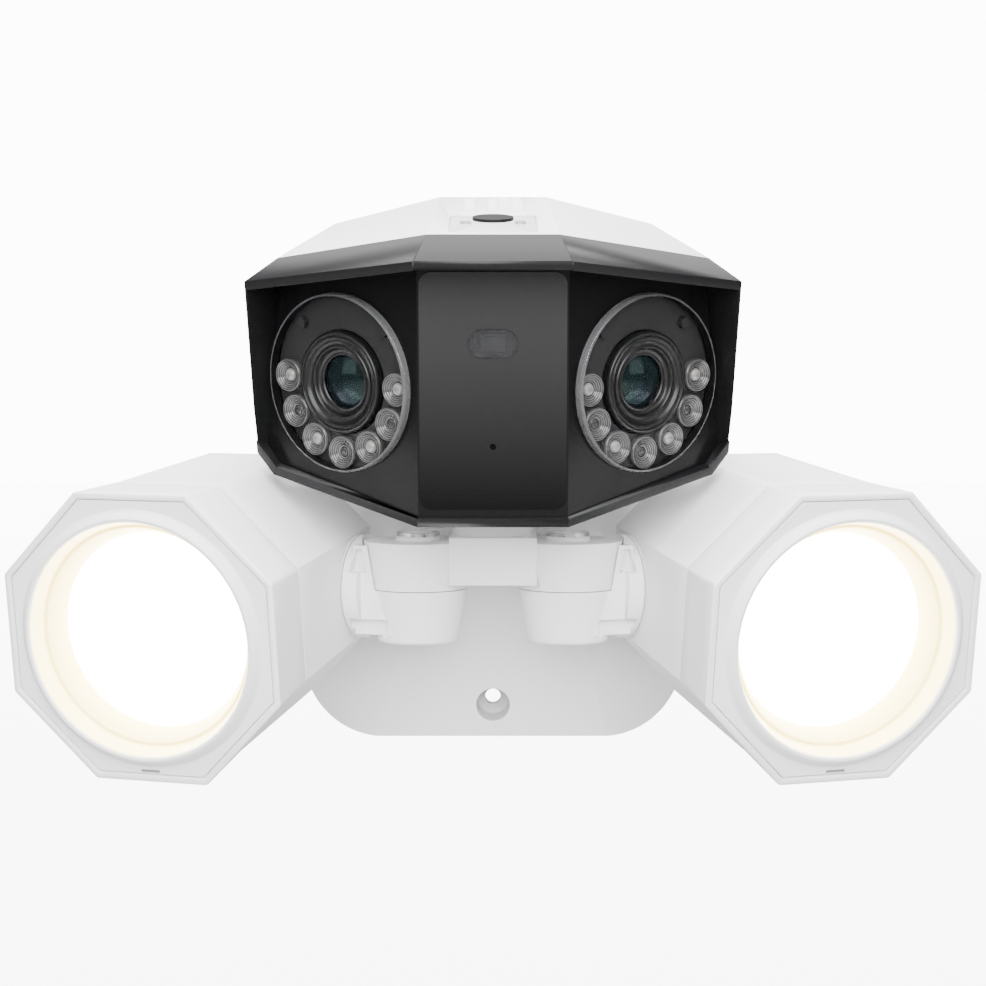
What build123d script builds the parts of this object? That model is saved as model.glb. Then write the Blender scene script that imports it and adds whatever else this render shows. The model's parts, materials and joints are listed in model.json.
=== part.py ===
"""Floodlight security camera: wall base, tilting twin-lens camera head and two aimed lamps.

Frame: millimetres, +Z up, +X to the viewer's right, the wall is the plane Y = 0 and the object
stands out from it towards -Y. The origin is the middle of the base on the wall.
"""

from build123d import *
import math
import os

# ---- wall base ----
BASE_SIDE = 140.0  # width and height of the base
BASE_CORNER = 28.0  # corner radius of the base
BASE_RIM_DEPTH = 17.0  # depth of the base where its side facets meet the rim
BASE_EDGE_DEPTH = 24.0  # depth of the central facet at the top and bottom edges
BASE_CENTRE_DEPTH = 37.0  # depth of the central facet at mid height
FACET_HALF_EDGE = 42.0  # half width of the central facet at the edges
FACET_HALF_CENTRE = 26.0  # half width of the central facet at mid height
WALL = 3.0  # wall thickness of the mouldings
COVER_THICK = 2.0  # back cover
FIT = 0.3  # clearance between pieces that move or drop into each other
SEAT = 0.1  # clearance between pieces that are fixed together
SCREW_SPACING = 116.0  # between the two wall screws
SCREW_HOLE_R = 2.9  # wall screw clearance hole
SCREW_HEAD_R = 6.2  # counterbore for the wall screw's head
SCREW_SEAT = 6.0  # material left under the wall screw's head
CABLE_R = 4.0  # cable bore of the inlet grommet
CABLE_HEIGHT = 30.0  # height of the cable inlet above the origin

# ---- yoke and arms ----
KNUCKLE_X = 26.0  # knuckle axes, left and right of the middle
KNUCKLE_Y = 70.7  # knuckle axes, out from the wall
KNUCKLE_R = 17.0  # knuckle radius at the split
KNUCKLE_TOP_R = 19.0  # radius at the top of the upper half
KNUCKLE_FOOT_R = 14.0  # radius at the foot of the lower half
KNUCKLE_UP = 16.7  # height of the upper half
KNUCKLE_DOWN = 18.5  # height of the lower half
TILT_HEIGHT = -10.1  # height of the lamps' tilt axes, and of the knuckle split
YOKE_HALF = 15.0  # half width of the yoke's front
BOLT_R = 4.0  # shafts of the knuckle and tilt bolts
RUNNING = 0.05  # radial clearance of a shaft that turns
BOLT_HEAD_R = 7.5
BOLT_HEAD = 2.6
BOLT_BITE = 3.6  # length of a tilt bolt inside the arm's disc
DISC_R = 18.0  # tilt disc of the arm
DISC_THICK = 6.0

# ---- lamps ----
LAMP_YAW = 19.7  # degrees that each lamp looks outwards
LAMP_DIP = 8.2  # degrees that each lamp looks down
LAMP_REACH = 66.9  # knuckle axis to lamp axis
LAMP_AHEAD = 80.0  # tilt axis to the front rim
LAMP_BEHIND = 18.0  # tilt axis to the back
LAMP_FRONT_HALF = 49.0  # half the width across flats at the front rim
LAMP_SPLIT_HALF = 46.4  # the same at the parting line
LAMP_BACK_HALF = 43.0  # the same at the back
LAMP_SPLIT = 53.0  # tilt axis to the parting line
LAMP_WALL = 2.5
LAMP_PAD = 0.9  # how far the tilt pad stands out of the side
GASKET = 0.8
RING_R = 43.6  # raised round ring of the lamp's front
RING_CREST = 3.0  # how far the ring stands out of the front plate
RING_CREST_R = 40.8
DIFFUSER_R = 34.0
DIFFUSER_DEPTH = 11.0  # diffuser's front face behind the front plate
DIFFUSER_THICK = 2.5
SINK_THICK = 4.0
LED_THICK = 1.6
CHIP = 3.0

# ---- camera head ----
HEAD_Y = 143.1  # top front edge of the hood, out from the wall
HEAD_Z = 101.5  # and above the origin
HEAD_DIP = 8.0  # degrees that the head looks down
SIDE_YAW = 38.0  # degrees between the middle panel and each side panel
FOLD_X = 24.6  # fold between the panels
PANEL_DEPTH = 13.0  # middle panel behind the top front edge
PANEL_THICK = 2.5
HEAD_WALL = 3.0
WINDOW_R = 30.0
WINDOW_FROM_FOLD = 32.9
WINDOW_UP = -44.4
WINDOW_PROUD = 3.0
WINDOW_CHAMFER = 0.6
WINDOW_SKIN = 1.0
CARRIER_R = 31.2
CARRIER_THICK = 2.0
BARREL_R = 17.3
BARREL_FLANGE_R = 20.0
LENS_R = 11.5
IR_RING_R = 23.6
IR_CUP_R = 5.4
IR_STEP = 30.0  # degrees between infrared lenses
IR_COUNT = 7
BOSS_STEP = 44.0  # degrees between the top of a window and each of its two bosses
PLATE_HALF = 24.0  # raised glossy plate of the middle panel
PLATE_BOTTOM = -83.0
PLATE_TOP = -5.0
PLATE_THICK = 0.6
PILL_LENGTH = 16.2
PILL_WIDTH = 9.5
PILL_UP = -28.3
MIC_R = 1.0
MIC_UP = -62.2
PIVOT_Y = 66.0  # head tilt axis, out from the wall
PIVOT_Z = 23.4  # and above the origin
PIVOT_R = 3.0
LUG_R = 7.0
LUG_HALF = 5.5
EAR_THICK = 5.0
COVER_HALF = 14.7  # service cover in the top of the head
COVER_FROM = 4.0  # its front edge, behind the hood's rear edge
COVER_LENGTH = 40.0
COVER_DEPTH = 1.2
PLUG_R = 7.0
GROOVE = 4.3
GROOVE_STEP = 8.3
GROOVE_LENGTH = 36.0

SIDES = {"left": -1, "right": 1}
FLAT = math.cos(math.radians(22.5))  # half width of an octagon over its corner radius


def aimed(origin, yaw, dip):
    """A plane whose Z looks out of the wall, turned by yaw and dipped, with Y up."""
    turn = math.radians(yaw)
    drop = math.radians(dip)
    ahead = (math.sin(turn) * math.cos(drop), -math.cos(turn) * math.cos(drop), -math.sin(drop))
    return Plane(origin=origin, x_dir=(math.cos(turn), math.sin(turn), 0), z_dir=ahead)


HEAD = aimed((0, -HEAD_Y, HEAD_Z), 0, HEAD_DIP)


def arm_plane(side):
    return aimed((side * KNUCKLE_X, -KNUCKLE_Y, TILT_HEIGHT), side * LAMP_YAW, 0)


def lamp_plane(side):
    centre = arm_plane(side).from_local_coords(Vector(side * LAMP_REACH, 0, 0))
    return aimed(centre, side * LAMP_YAW, LAMP_DIP)


def across(plane, distance, side=1):
    """A plane square to the given plane's X, at a distance along it, facing along X times side."""
    origin = plane.from_local_coords(Vector(distance, 0, 0))
    return Plane(origin=origin, x_dir=plane.z_dir, z_dir=plane.x_dir * side)


def level(height, x=0.0, y=0.0):
    return Plane(origin=(x, y, height), x_dir=(1, 0, 0), z_dir=(0, 0, 1))


def save(builder, name):
    builder.part.label = name
    export_step(builder.part, f"parts/{name}.step")


def facet(a, b, c, inside, shift=0.0):
    """The plane through three points, facing away from inside and moved inwards by shift."""
    a, b, c, inside = Vector(a), Vector(b), Vector(c), Vector(inside)
    normal = (b - a).cross(c - a).normalized()
    if normal.dot(inside - a) > 0:
        normal = normal * -1
    return Plane(origin=a - normal * shift, z_dir=normal)


def mirrored(point):
    return Vector(-Vector(point).X, Vector(point).Y, Vector(point).Z)


def pair(a, b, c, inside, shift=0.0):
    """A facet and its mirror image across X = 0."""
    other = (mirrored(a), mirrored(b), mirrored(c))
    return [facet(a, b, c, inside, shift), facet(*other, inside, shift)]


def ridge(a, b, inside, shift=0.0):
    """A facet that runs straight across the middle, through two points."""
    return facet(a, b, Vector(a) + Vector(10, 0, 0), inside, shift)


def convex(planes, centre, span=400.0):
    """The space behind every plane, cut from a block round centre."""
    with BuildPart(Plane(origin=centre)) as block:
        Box(span, span, span)
        for plane in planes:
            split(bisect_by=plane, keep=Keep.BOTTOM)
    return block.part


# ======== wall base ========
def base_facets(shift):
    """The central facets, upper and lower, and the side facets of the base."""
    inside = (0, 0, 0)
    half = BASE_SIDE / 2
    planes = []
    for way in (1, -1):
        middle = (0, -BASE_CENTRE_DEPTH, 0)
        edge = (0, -BASE_EDGE_DEPTH, way * half)
        planes.append(ridge(middle, edge, inside, shift))
        corner = (FACET_HALF_EDGE, -BASE_EDGE_DEPTH, way * half)
        inner = (FACET_HALF_CENTRE, -BASE_CENTRE_DEPTH, 0)
        planes += pair(corner, inner, (half, -BASE_RIM_DEPTH, way * half / 2), inside, shift)
    return planes


def base_block(inset):
    """The rounded block of the base, behind its facets, smaller by inset."""
    side = BASE_SIDE - 2 * inset
    with BuildPart() as block:
        with BuildSketch(Plane.XZ):
            RectangleRounded(side, side, BASE_CORNER - inset)
        extrude(amount=60)
        for plane in base_facets(inset):
            split(bisect_by=plane, keep=Keep.BOTTOM)
    return block.part


def screw_places():
    return [(0, -SCREW_SPACING / 2), (0, SCREW_SPACING / 2)]


def base_housing():
    yoke_top = TILT_HEIGHT + KNUCKLE_UP
    yoke_front = KNUCKLE_Y + KNUCKLE_R - 1.0
    with BuildPart() as piece:
        add(base_block(0))
        add(base_block(WALL), mode=Mode.SUBTRACT)
        with BuildSketch(level(TILT_HEIGHT + 2.5)):
            with Locations((0, -(yoke_front + BASE_EDGE_DEPTH) / 2)):
                Rectangle(2 * YOKE_HALF, yoke_front - BASE_EDGE_DEPTH)
            with Locations((0, -BASE_EDGE_DEPTH - 13)):
                Rectangle(2 * KNUCKLE_X, 26)
        extrude(amount=yoke_top + 2.0 - TILT_HEIGHT - 2.5)
        for side in SIDES.values():
            foot = level(TILT_HEIGHT + FIT, side * KNUCKLE_X, -KNUCKLE_Y)
            with BuildSketch(foot):
                Circle(KNUCKLE_R)
            with BuildSketch(level(yoke_top, side * KNUCKLE_X, -KNUCKLE_Y)):
                Circle(KNUCKLE_TOP_R)
            loft()
        with BuildSketch(Plane.XZ):
            with Locations(*screw_places()):
                Circle(SCREW_HEAD_R + WALL)
        extrude(amount=BASE_EDGE_DEPTH)
        with BuildSketch(Plane.XZ):
            with Locations(*screw_places()):
                Circle(SCREW_HOLE_R)
        extrude(amount=60, mode=Mode.SUBTRACT)
        with BuildSketch(Plane.XZ.offset(SCREW_SEAT)):
            with Locations(*screw_places()):
                Circle(SCREW_HEAD_R)
        extrude(amount=60, mode=Mode.SUBTRACT)
        for side in SIDES.values():
            with BuildSketch(level(TILT_HEIGHT, side * KNUCKLE_X, -KNUCKLE_Y)):
                Circle(BOLT_R + RUNNING)
            extrude(amount=KNUCKLE_UP + 5, mode=Mode.SUBTRACT)
        with BuildSketch(Plane.XZ.offset(BASE_CENTRE_DEPTH - WALL - 5)):
            with Locations((0, TILT_HEIGHT + 9)):
                Rectangle(14, 8)
        extrude(amount=PIVOT_Y - BASE_CENTRE_DEPTH + WALL + 9, mode=Mode.SUBTRACT)
        with BuildSketch(level(TILT_HEIGHT + 9, 0, -PIVOT_Y)):
            Circle(CABLE_R)
        extrude(amount=30, mode=Mode.SUBTRACT)
    save(piece, "base_housing")


def base_back_cover():
    outline = BASE_SIDE - 2 * (WALL + FIT)
    with BuildPart() as piece:
        with BuildSketch(Plane.XZ):
            RectangleRounded(outline, outline, BASE_CORNER - WALL - FIT)
            with Locations(*screw_places()):
                Circle(SCREW_HEAD_R + WALL + FIT, mode=Mode.SUBTRACT)
            with Locations((0, CABLE_HEIGHT)):
                Circle(CABLE_R + 2.5, mode=Mode.SUBTRACT)
        extrude(amount=COVER_THICK)
    save(piece, "base_back_cover")


def cable_gland():
    with BuildPart() as piece:
        with BuildSketch(Plane.XZ):
            with Locations((0, CABLE_HEIGHT)):
                Circle(CABLE_R + 2.5)
        extrude(amount=COVER_THICK)
        with BuildSketch(Plane.XZ.offset(COVER_THICK)):
            with Locations((0, CABLE_HEIGHT)):
                Circle(CABLE_R + 4.5)
        extrude(amount=4)
        with BuildSketch(Plane.XZ):
            with Locations((0, CABLE_HEIGHT)):
                Circle(CABLE_R)
        extrude(amount=10, mode=Mode.SUBTRACT)
    save(piece, "cable_gland")


def power_board():
    with BuildPart() as piece:
        with BuildSketch(Plane.XZ.offset(COVER_THICK)):
            with Locations((-34, -8)):
                Rectangle(44, 60)
        extrude(amount=1.6)
        with BuildSketch(Plane.XZ.offset(COVER_THICK + 1.6)):
            with Locations((-36, -20)):
                Rectangle(22, 18)
            with Locations((-30, 8)):
                Circle(6)
        extrude(amount=8)
    save(piece, "power_board")


def terminal_block():
    with BuildPart() as piece:
        with BuildSketch(Plane.XZ.offset(COVER_THICK)):
            with Locations((32, 10)):
                Rectangle(16, 36)
        extrude(amount=9)
        with BuildSketch(Plane.XZ.offset(COVER_THICK + 5)):
            with GridLocations(0, 11, 1, 3):
                with Locations((32, 10)):
                    Circle(3)
        extrude(amount=9, mode=Mode.SUBTRACT)
    save(piece, "terminal_block")


# ======== head mount ========
PIVOT = Vector(0, -PIVOT_Y, PIVOT_Z)


def neck():
    """The fork on the yoke that carries the head."""
    foot = TILT_HEIGHT + KNUCKLE_UP + 2.0
    ear_middle = LUG_HALF + FIT + EAR_THICK / 2
    cheeks = Plane(origin=PIVOT, x_dir=(0, 1, 0), z_dir=(1, 0, 0))
    with BuildPart() as piece:
        with BuildSketch(level(foot, 0, -PIVOT_Y)):
            Circle(KNUCKLE_R - 3)
        extrude(amount=4)
        for way in (-1, 1):
            with BuildSketch(cheeks.offset(way * ear_middle - EAR_THICK / 2)):
                Circle(LUG_R)
                with Locations((0, -(PIVOT_Z - foot) / 2)):
                    Rectangle(2 * LUG_R, PIVOT_Z - foot)
            extrude(amount=EAR_THICK)
        with BuildSketch(level(foot, 0, -PIVOT_Y)):
            Rectangle(2 * ear_middle, 2 * LUG_R)
        extrude(amount=PIVOT_Z - foot - LUG_R - 1)
        with BuildSketch(cheeks.offset(-40)):
            Circle(PIVOT_R + RUNNING)
        extrude(amount=80, mode=Mode.SUBTRACT)
        with BuildSketch(level(foot, 0, -PIVOT_Y)):
            Circle(CABLE_R)
        extrude(amount=PIVOT_Z - foot - LUG_R, mode=Mode.SUBTRACT)
    save(piece, "neck")


def head_tilt_bolt():
    reach = LUG_HALF + FIT + EAR_THICK
    cheeks = Plane(origin=PIVOT, x_dir=(0, 1, 0), z_dir=(1, 0, 0))
    with BuildPart() as piece:
        with BuildSketch(cheeks.offset(-reach)):
            Circle(PIVOT_R)
        extrude(amount=2 * reach + 2)
        with BuildSketch(cheeks.offset(-reach - 3)):
            RegularPolygon(5.5, 6)
        extrude(amount=3)
        with BuildSketch(cheeks.offset(reach)):
            RegularPolygon(5.5, 6)
        extrude(amount=4)
    save(piece, "head_tilt_bolt")


# ======== camera head: shapes in the head's own directions ========
def at_head(x, up, ahead):
    return HEAD.from_local_coords(Vector(x, up, ahead))


HEAD_MIDDLE = at_head(0, -40, -40)
TOP_FRONT = (24.9, 0.8, 6.4)  # corners of the hood: across, up, ahead
TOP_SIDE = (82.8, -11.5, -40)
FOOT_SIDE = (80.4, -77.5, -52)
FOOT_FRONT = (24.8, -89, -12)
HOOD_BACK = (21.7, 5.8, -25)
HOOD_BACK_SIDE = (73.4, -6.0, -60)
CORNER_UP = (80.6, -71.5, -51)  # bevel of the hood's bottom corners
CORNER_IN = (74.5, -79.0, -48)
CORNER_BACK = (73.6, -70.0, -71)
BELLY_MID = (22, -75, -80)
BELLY_MID_SIDE = (66, -62, -86)
BELLY_BACK = (20, -40, -115)
CROWN_BACK = (19.1, 9.6, -115)
CROWN_BACK_SIDE = (57, 0, -115)
CHEEK_TOP = (72.0, -14, -50.0)  # inner side wall of the hood, where it meets the panel
CHEEK_FOOT = (78.0, -74, -54.4)
CHEEK_RIM = (79.6, -12, -42)


def spots(*points):
    return [at_head(*p) for p in points]


def hood_rim():
    """The front planes of the hood."""
    middle = ridge(*spots(TOP_FRONT, FOOT_FRONT), HEAD_MIDDLE)
    return [middle] + pair(*spots(TOP_SIDE, FOOT_SIDE, FOOT_FRONT), HEAD_MIDDLE)


def hood_skin(shift):
    """Top, side and bottom planes of the hood."""
    planes = [ridge(*spots(TOP_FRONT, HOOD_BACK), HEAD_MIDDLE, shift)]
    planes += pair(*spots(TOP_FRONT, TOP_SIDE, HOOD_BACK), HEAD_MIDDLE, shift)
    planes += pair(*spots(TOP_SIDE, HOOD_BACK_SIDE, FOOT_SIDE), HEAD_MIDDLE, shift)
    return planes + belly(shift)


def belly(shift):
    """Bottom planes of the head."""
    planes = [ridge(*spots(FOOT_FRONT, BELLY_MID), HEAD_MIDDLE, shift)]
    planes += pair(*spots(FOOT_FRONT, FOOT_SIDE, BELLY_MID), HEAD_MIDDLE, shift)
    planes += pair(*spots(CORNER_UP, CORNER_IN, CORNER_BACK), HEAD_MIDDLE, shift)
    planes.append(ridge(*spots(BELLY_MID, BELLY_BACK), HEAD_MIDDLE, shift))
    return planes + pair(*spots(BELLY_MID, BELLY_MID_SIDE, BELLY_BACK), HEAD_MIDDLE, shift)


def crown(shift):
    """Top, side and back planes of the rear housing."""
    planes = [ridge(*spots(HOOD_BACK, CROWN_BACK), HEAD_MIDDLE, shift)]
    planes += pair(*spots(HOOD_BACK, HOOD_BACK_SIDE, CROWN_BACK), HEAD_MIDDLE, shift)
    low = (HOOD_BACK_SIDE[0] - 1.5, -70, HOOD_BACK_SIDE[2])
    planes += pair(*spots(HOOD_BACK_SIDE, CROWN_BACK_SIDE, low), HEAD_MIDDLE, shift)
    planes.append(ridge(*spots(CROWN_BACK, BELLY_BACK), HEAD_MIDDLE, shift))
    return planes + belly(shift)


def folded(depth, yaw, fold, shift=0.0):
    """A folded front: a middle plane depth behind the rim and a side plane each side of the fold."""
    side_way = math.tan(math.radians(yaw))
    a, b = (fold, 0, -depth), (fold, -50, -depth)
    c = (fold + 50, 0, -depth - 50 * side_way)
    return [ridge(*spots(a, b), HEAD_MIDDLE, shift)] + pair(*spots(a, b, c), HEAD_MIDDLE, shift)


def parting(shift=0.0):
    """The V-shaped joint between the hood and the rear housing."""
    run = HOOD_BACK_SIDE[0] - HOOD_BACK[0]
    yaw = math.degrees(math.atan2(HOOD_BACK[2] - HOOD_BACK_SIDE[2], run))
    return folded(-HOOD_BACK[2], yaw, HOOD_BACK[0], shift)


def panels(shift=0.0):
    return folded(PANEL_DEPTH, SIDE_YAW, FOLD_X, shift)


def hood_hollow(shift):
    """The space inside the hood's walls."""
    planes = [ridge(*spots(TOP_FRONT, HOOD_BACK), HEAD_MIDDLE, shift)]
    planes += pair(*spots(TOP_FRONT, TOP_SIDE, HOOD_BACK), HEAD_MIDDLE, shift)
    slack = shift - HEAD_WALL
    planes += pair(*spots(CHEEK_TOP, CHEEK_FOOT, CHEEK_RIM), HEAD_MIDDLE, slack)
    return planes + belly(shift)


def side_panel(side):
    """Plane of a side panel: origin at the middle of its window, Z outwards, Y up."""
    turn = math.radians(SIDE_YAW)
    x = FOLD_X + WINDOW_FROM_FOLD * math.cos(turn)
    depth = PANEL_DEPTH + WINDOW_FROM_FOLD * math.sin(turn)
    along = Vector(math.cos(turn), 0, -side * math.sin(turn))
    out = Vector(side * math.sin(turn), 0, math.cos(turn))
    x_dir = HEAD.x_dir * along.X + HEAD.z_dir * along.Z
    z_dir = HEAD.x_dir * out.X + HEAD.z_dir * out.Z
    return Plane(origin=at_head(side * x, WINDOW_UP, -depth), x_dir=x_dir, z_dir=z_dir)


def front_plane(shift=0.0):
    """Plane of the middle panel's face, moved forward by shift."""
    return HEAD.offset(shift - PANEL_DEPTH)


def front_bezel():
    with BuildPart() as piece:
        add(convex(hood_rim() + hood_skin(0), HEAD_MIDDLE))
        add(convex(parting(), HEAD_MIDDLE), mode=Mode.SUBTRACT)
        add(convex(hood_hollow(HEAD_WALL), HEAD_MIDDLE), mode=Mode.SUBTRACT)
        behind = hood_skin(HEAD_WALL) + panels(PANEL_THICK)
        add(convex(behind, HEAD_MIDDLE), mode=Mode.SUBTRACT)
    save(piece, "front_bezel")


def front_panel():
    with BuildPart() as piece:
        add(convex(panels() + hood_hollow(HEAD_WALL + SEAT), HEAD_MIDDLE))
        add(convex(panels(PANEL_THICK), HEAD_MIDDLE), mode=Mode.SUBTRACT)
        for side in SIDES.values():
            with BuildSketch(side_panel(side)):
                Circle(WINDOW_R + SEAT)
            extrude(amount=PANEL_THICK * 2, both=True, mode=Mode.SUBTRACT)
        with BuildSketch(front_plane()):
            with Locations((0, PILL_UP)):
                Rectangle(8, 6)
            with Locations((0, MIC_UP)):
                Circle(MIC_R)
        extrude(amount=-PANEL_THICK * 2, mode=Mode.SUBTRACT)
    save(piece, "front_panel")


def centre_plate():
    height = PLATE_TOP - PLATE_BOTTOM
    with BuildPart() as piece:
        with BuildSketch(front_plane()):
            with Locations((0, (PLATE_TOP + PLATE_BOTTOM) / 2)):
                RectangleRounded(2 * PLATE_HALF, height, 4)
            with Locations((0, PILL_UP)):
                SlotOverall(PILL_LENGTH, PILL_WIDTH, mode=Mode.SUBTRACT)
            with Locations((0, MIC_UP)):
                Circle(MIC_R, mode=Mode.SUBTRACT)
        extrude(amount=PLATE_THICK)
    save(piece, "centre_plate")


def sensor_window():
    with BuildPart() as piece:
        with BuildSketch(front_plane()):
            with Locations((0, PILL_UP)):
                SlotOverall(PILL_LENGTH - 2 * SEAT, PILL_WIDTH - 2 * SEAT)
        extrude(amount=PLATE_THICK + 0.3)
    save(piece, "sensor_window")


def light_sensor():
    with BuildPart() as piece:
        with BuildSketch(front_plane(-PANEL_THICK)):
            with Locations((0, PILL_UP)):
                Rectangle(12, 10)
        extrude(amount=-1.6)
        with BuildSketch(front_plane(-PANEL_THICK)):
            with Locations((0, PILL_UP)):
                Rectangle(5, 4)
        extrude(amount=2)
    save(piece, "light_sensor")


def microphone():
    with BuildPart() as piece:
        with BuildSketch(front_plane(-PANEL_THICK)):
            with Locations((0, MIC_UP)):
                Circle(4)
        extrude(amount=-2.4)
    save(piece, "microphone")


def crown_plane():
    """Plane on the top of the rear housing, origin at the hood's rear edge, Y towards the back."""
    front = at_head(0, HOOD_BACK[1], HOOD_BACK[2])
    back = at_head(0, CROWN_BACK[1], CROWN_BACK[2])
    along = (back - front).normalized()
    return Plane(origin=front, x_dir=(1, 0, 0), z_dir=Vector(1, 0, 0).cross(along))


def cover_spot():
    return (0, COVER_FROM + COVER_LENGTH / 2)


def rear_housing():
    top_run = HOOD_BACK[2] - CROWN_BACK[2]
    with BuildPart() as piece:
        add(convex(crown(0) + parting(), HEAD_MIDDLE))
        add(convex(crown(HEAD_WALL), HEAD_MIDDLE), mode=Mode.SUBTRACT)
        with BuildSketch(crown_plane()):
            with Locations(cover_spot()):
                RectangleRounded(2 * COVER_HALF, COVER_LENGTH, 4)
        extrude(amount=-COVER_DEPTH, mode=Mode.SUBTRACT)
        with BuildSketch(crown_plane()):
            with Locations((0, top_run - GROOVE_LENGTH / 2)):
                with GridLocations(GROOVE_STEP, 0, 3, 1):
                    Rectangle(GROOVE, GROOVE_LENGTH + 0.01)
        extrude(amount=-1.4, mode=Mode.SUBTRACT)
        with BuildSketch(HEAD.offset(CROWN_BACK[2])):
            with Locations((0, -15)):
                with GridLocations(60, 24, 2, 2):
                    Circle(3.5)
        extrude(amount=14)
        with BuildSketch(HEAD.offset(CROWN_BACK[2])):
            with Locations((0, -15)):
                with GridLocations(60, 24, 2, 2):
                    Circle(1.4)
        extrude(amount=16, mode=Mode.SUBTRACT)
    save(piece, "rear_housing")


def main_board():
    with BuildPart() as piece:
        with BuildSketch(HEAD.offset(CROWN_BACK[2] + 14)):
            with Locations((0, -17)):
                Rectangle(78, 34)
        extrude(amount=1.6)
        with BuildSketch(HEAD.offset(CROWN_BACK[2] + 15.6)):
            with Locations((-14, -14), (16, -10)):
                Rectangle(16, 16)
            with Locations((0, -30)):
                Rectangle(24, 5)
        extrude(amount=3)
    save(piece, "main_board")


def service_cover():
    with BuildPart() as piece:
        with BuildSketch(crown_plane().offset(-COVER_DEPTH)):
            with Locations(cover_spot()):
                RectangleRounded(2 * (COVER_HALF - FIT), COVER_LENGTH - 2 * FIT, 4 - FIT)
            with Locations((0, COVER_FROM + COVER_LENGTH - PLUG_R - 2)):
                Circle(PLUG_R - 1, mode=Mode.SUBTRACT)
        extrude(amount=COVER_DEPTH - 0.3)
    save(piece, "service_cover")


def plug_disc():
    with BuildPart() as piece:
        with BuildSketch(crown_plane().offset(-COVER_DEPTH)):
            with Locations((0, COVER_FROM + COVER_LENGTH - PLUG_R - 2)):
                Circle(PLUG_R - 1 - SEAT)
        extrude(amount=COVER_DEPTH - 0.3)
        with BuildSketch(crown_plane().offset(-0.3)):
            with Locations((0, COVER_FROM + COVER_LENGTH - PLUG_R - 2)):
                Circle(PLUG_R)
        extrude(amount=1.0)
    save(piece, "plug_disc")


def service_screws():
    with BuildPart() as piece:
        with BuildSketch(crown_plane().offset(-0.3)):
            with Locations((-9.2, COVER_FROM + 22), (9.2, COVER_FROM + 22)):
                Circle(1.9)
        extrude(amount=0.7)
    save(piece, "service_screws")


def speaker():
    with BuildPart() as piece:
        with BuildSketch(HEAD.offset(CROWN_BACK[2] + 18.6)):
            with Locations((16, -10)):
                Circle(7)
        extrude(amount=7)
    save(piece, "speaker")


def head_bracket():
    """Lug plate on the belly of the head, round the tilt axis."""
    cheeks = Plane(origin=PIVOT, x_dir=(0, 1, 0), z_dir=(1, 0, 0))
    low = at_head(0, FOOT_FRONT[1], FOOT_FRONT[2])
    high = at_head(0, BELLY_MID[1], BELLY_MID[2])
    along = (high - low).normalized()
    down = along.cross(Vector(1, 0, 0))
    if down.Z > 0:
        down = down * -1
    reach = (PIVOT - low).dot(along)
    gap = (PIVOT - low).dot(down)
    seat = Plane(origin=low + along * reach, x_dir=(1, 0, 0), z_dir=down)
    with BuildPart() as piece:
        with BuildSketch(seat):
            RectangleRounded(34, 30, 5)
        extrude(amount=2.5)
        with BuildSketch(seat):
            Rectangle(2 * LUG_HALF, 2 * LUG_R - 1)
        extrude(amount=gap)
        with BuildSketch(cheeks.offset(-LUG_HALF)):
            Circle(LUG_R)
        extrude(amount=2 * LUG_HALF)
        with BuildSketch(cheeks.offset(-20)):
            Circle(PIVOT_R + RUNNING)
        extrude(amount=40, mode=Mode.SUBTRACT)
        with BuildSketch(seat):
            with GridLocations(24, 18, 2, 2):
                Circle(1.6)
        extrude(amount=3, mode=Mode.SUBTRACT)
    save(piece, "head_bracket")
    with BuildPart() as screws:
        with BuildSketch(seat.offset(2.5)):
            with GridLocations(24, 18, 2, 2):
                Circle(2.8)
        extrude(amount=1.6)
        with BuildSketch(seat):
            with GridLocations(24, 18, 2, 2):
                Circle(1.5)
        extrude(amount=2.5)
    save(screws, "bracket_screws")


# ======== lens modules ========
def boss_angles(side):
    """Places of the two bosses round the lens."""
    return [90 - side * BOSS_STEP, 90 + side * BOSS_STEP]


def lens_window(side, name):
    with BuildPart() as piece:
        with BuildSketch(side_panel(side).offset(-PANEL_THICK)):
            Circle(WINDOW_R)
        extrude(amount=PANEL_THICK + WINDOW_PROUD)
        outward = Axis(side_panel(side).origin, side_panel(side).z_dir)
        chamfer(piece.faces().sort_by(outward)[-1].edges(), WINDOW_CHAMFER)
        with BuildSketch(side_panel(side).offset(-PANEL_THICK)):
            Circle(WINDOW_R - WINDOW_SKIN)
        extrude(amount=PANEL_THICK + WINDOW_PROUD - WINDOW_SKIN, mode=Mode.SUBTRACT)
    save(piece, f"lens_window_{name}")


def lens_carrier(side, name):
    with BuildPart() as piece:
        with BuildSketch(side_panel(side).offset(-PANEL_THICK)):
            Circle(CARRIER_R)
            Circle(BARREL_R + SEAT, mode=Mode.SUBTRACT)
        extrude(amount=-CARRIER_THICK)
        with BuildSketch(side_panel(side).offset(-PANEL_THICK)):
            for angle in boss_angles(side):
                with PolarLocations(IR_RING_R + 2, 1, angle):
                    Circle(1.8)
        extrude(amount=2.5)
    save(piece, f"lens_carrier_{name}")


def lens_barrel(side, name):
    face = side_panel(side)
    with BuildPart() as piece:
        with BuildSketch(face.offset(-PANEL_THICK - CARRIER_THICK)):
            Circle(BARREL_R)
        extrude(amount=PANEL_THICK + CARRIER_THICK + 0.5)
        with BuildSketch(face.offset(-PANEL_THICK - CARRIER_THICK)):
            Circle(BARREL_FLANGE_R)
        extrude(amount=-14)
        with BuildSketch(face.offset(0.5)):
            Circle(BARREL_R - 1.6)
        with BuildSketch(face.offset(-3)):
            Circle(LENS_R + 1)
        loft(mode=Mode.SUBTRACT)
        with BuildSketch(face.offset(-3)):
            Circle(LENS_R)
        extrude(amount=-3, mode=Mode.SUBTRACT)
    save(piece, f"lens_barrel_{name}")


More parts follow.
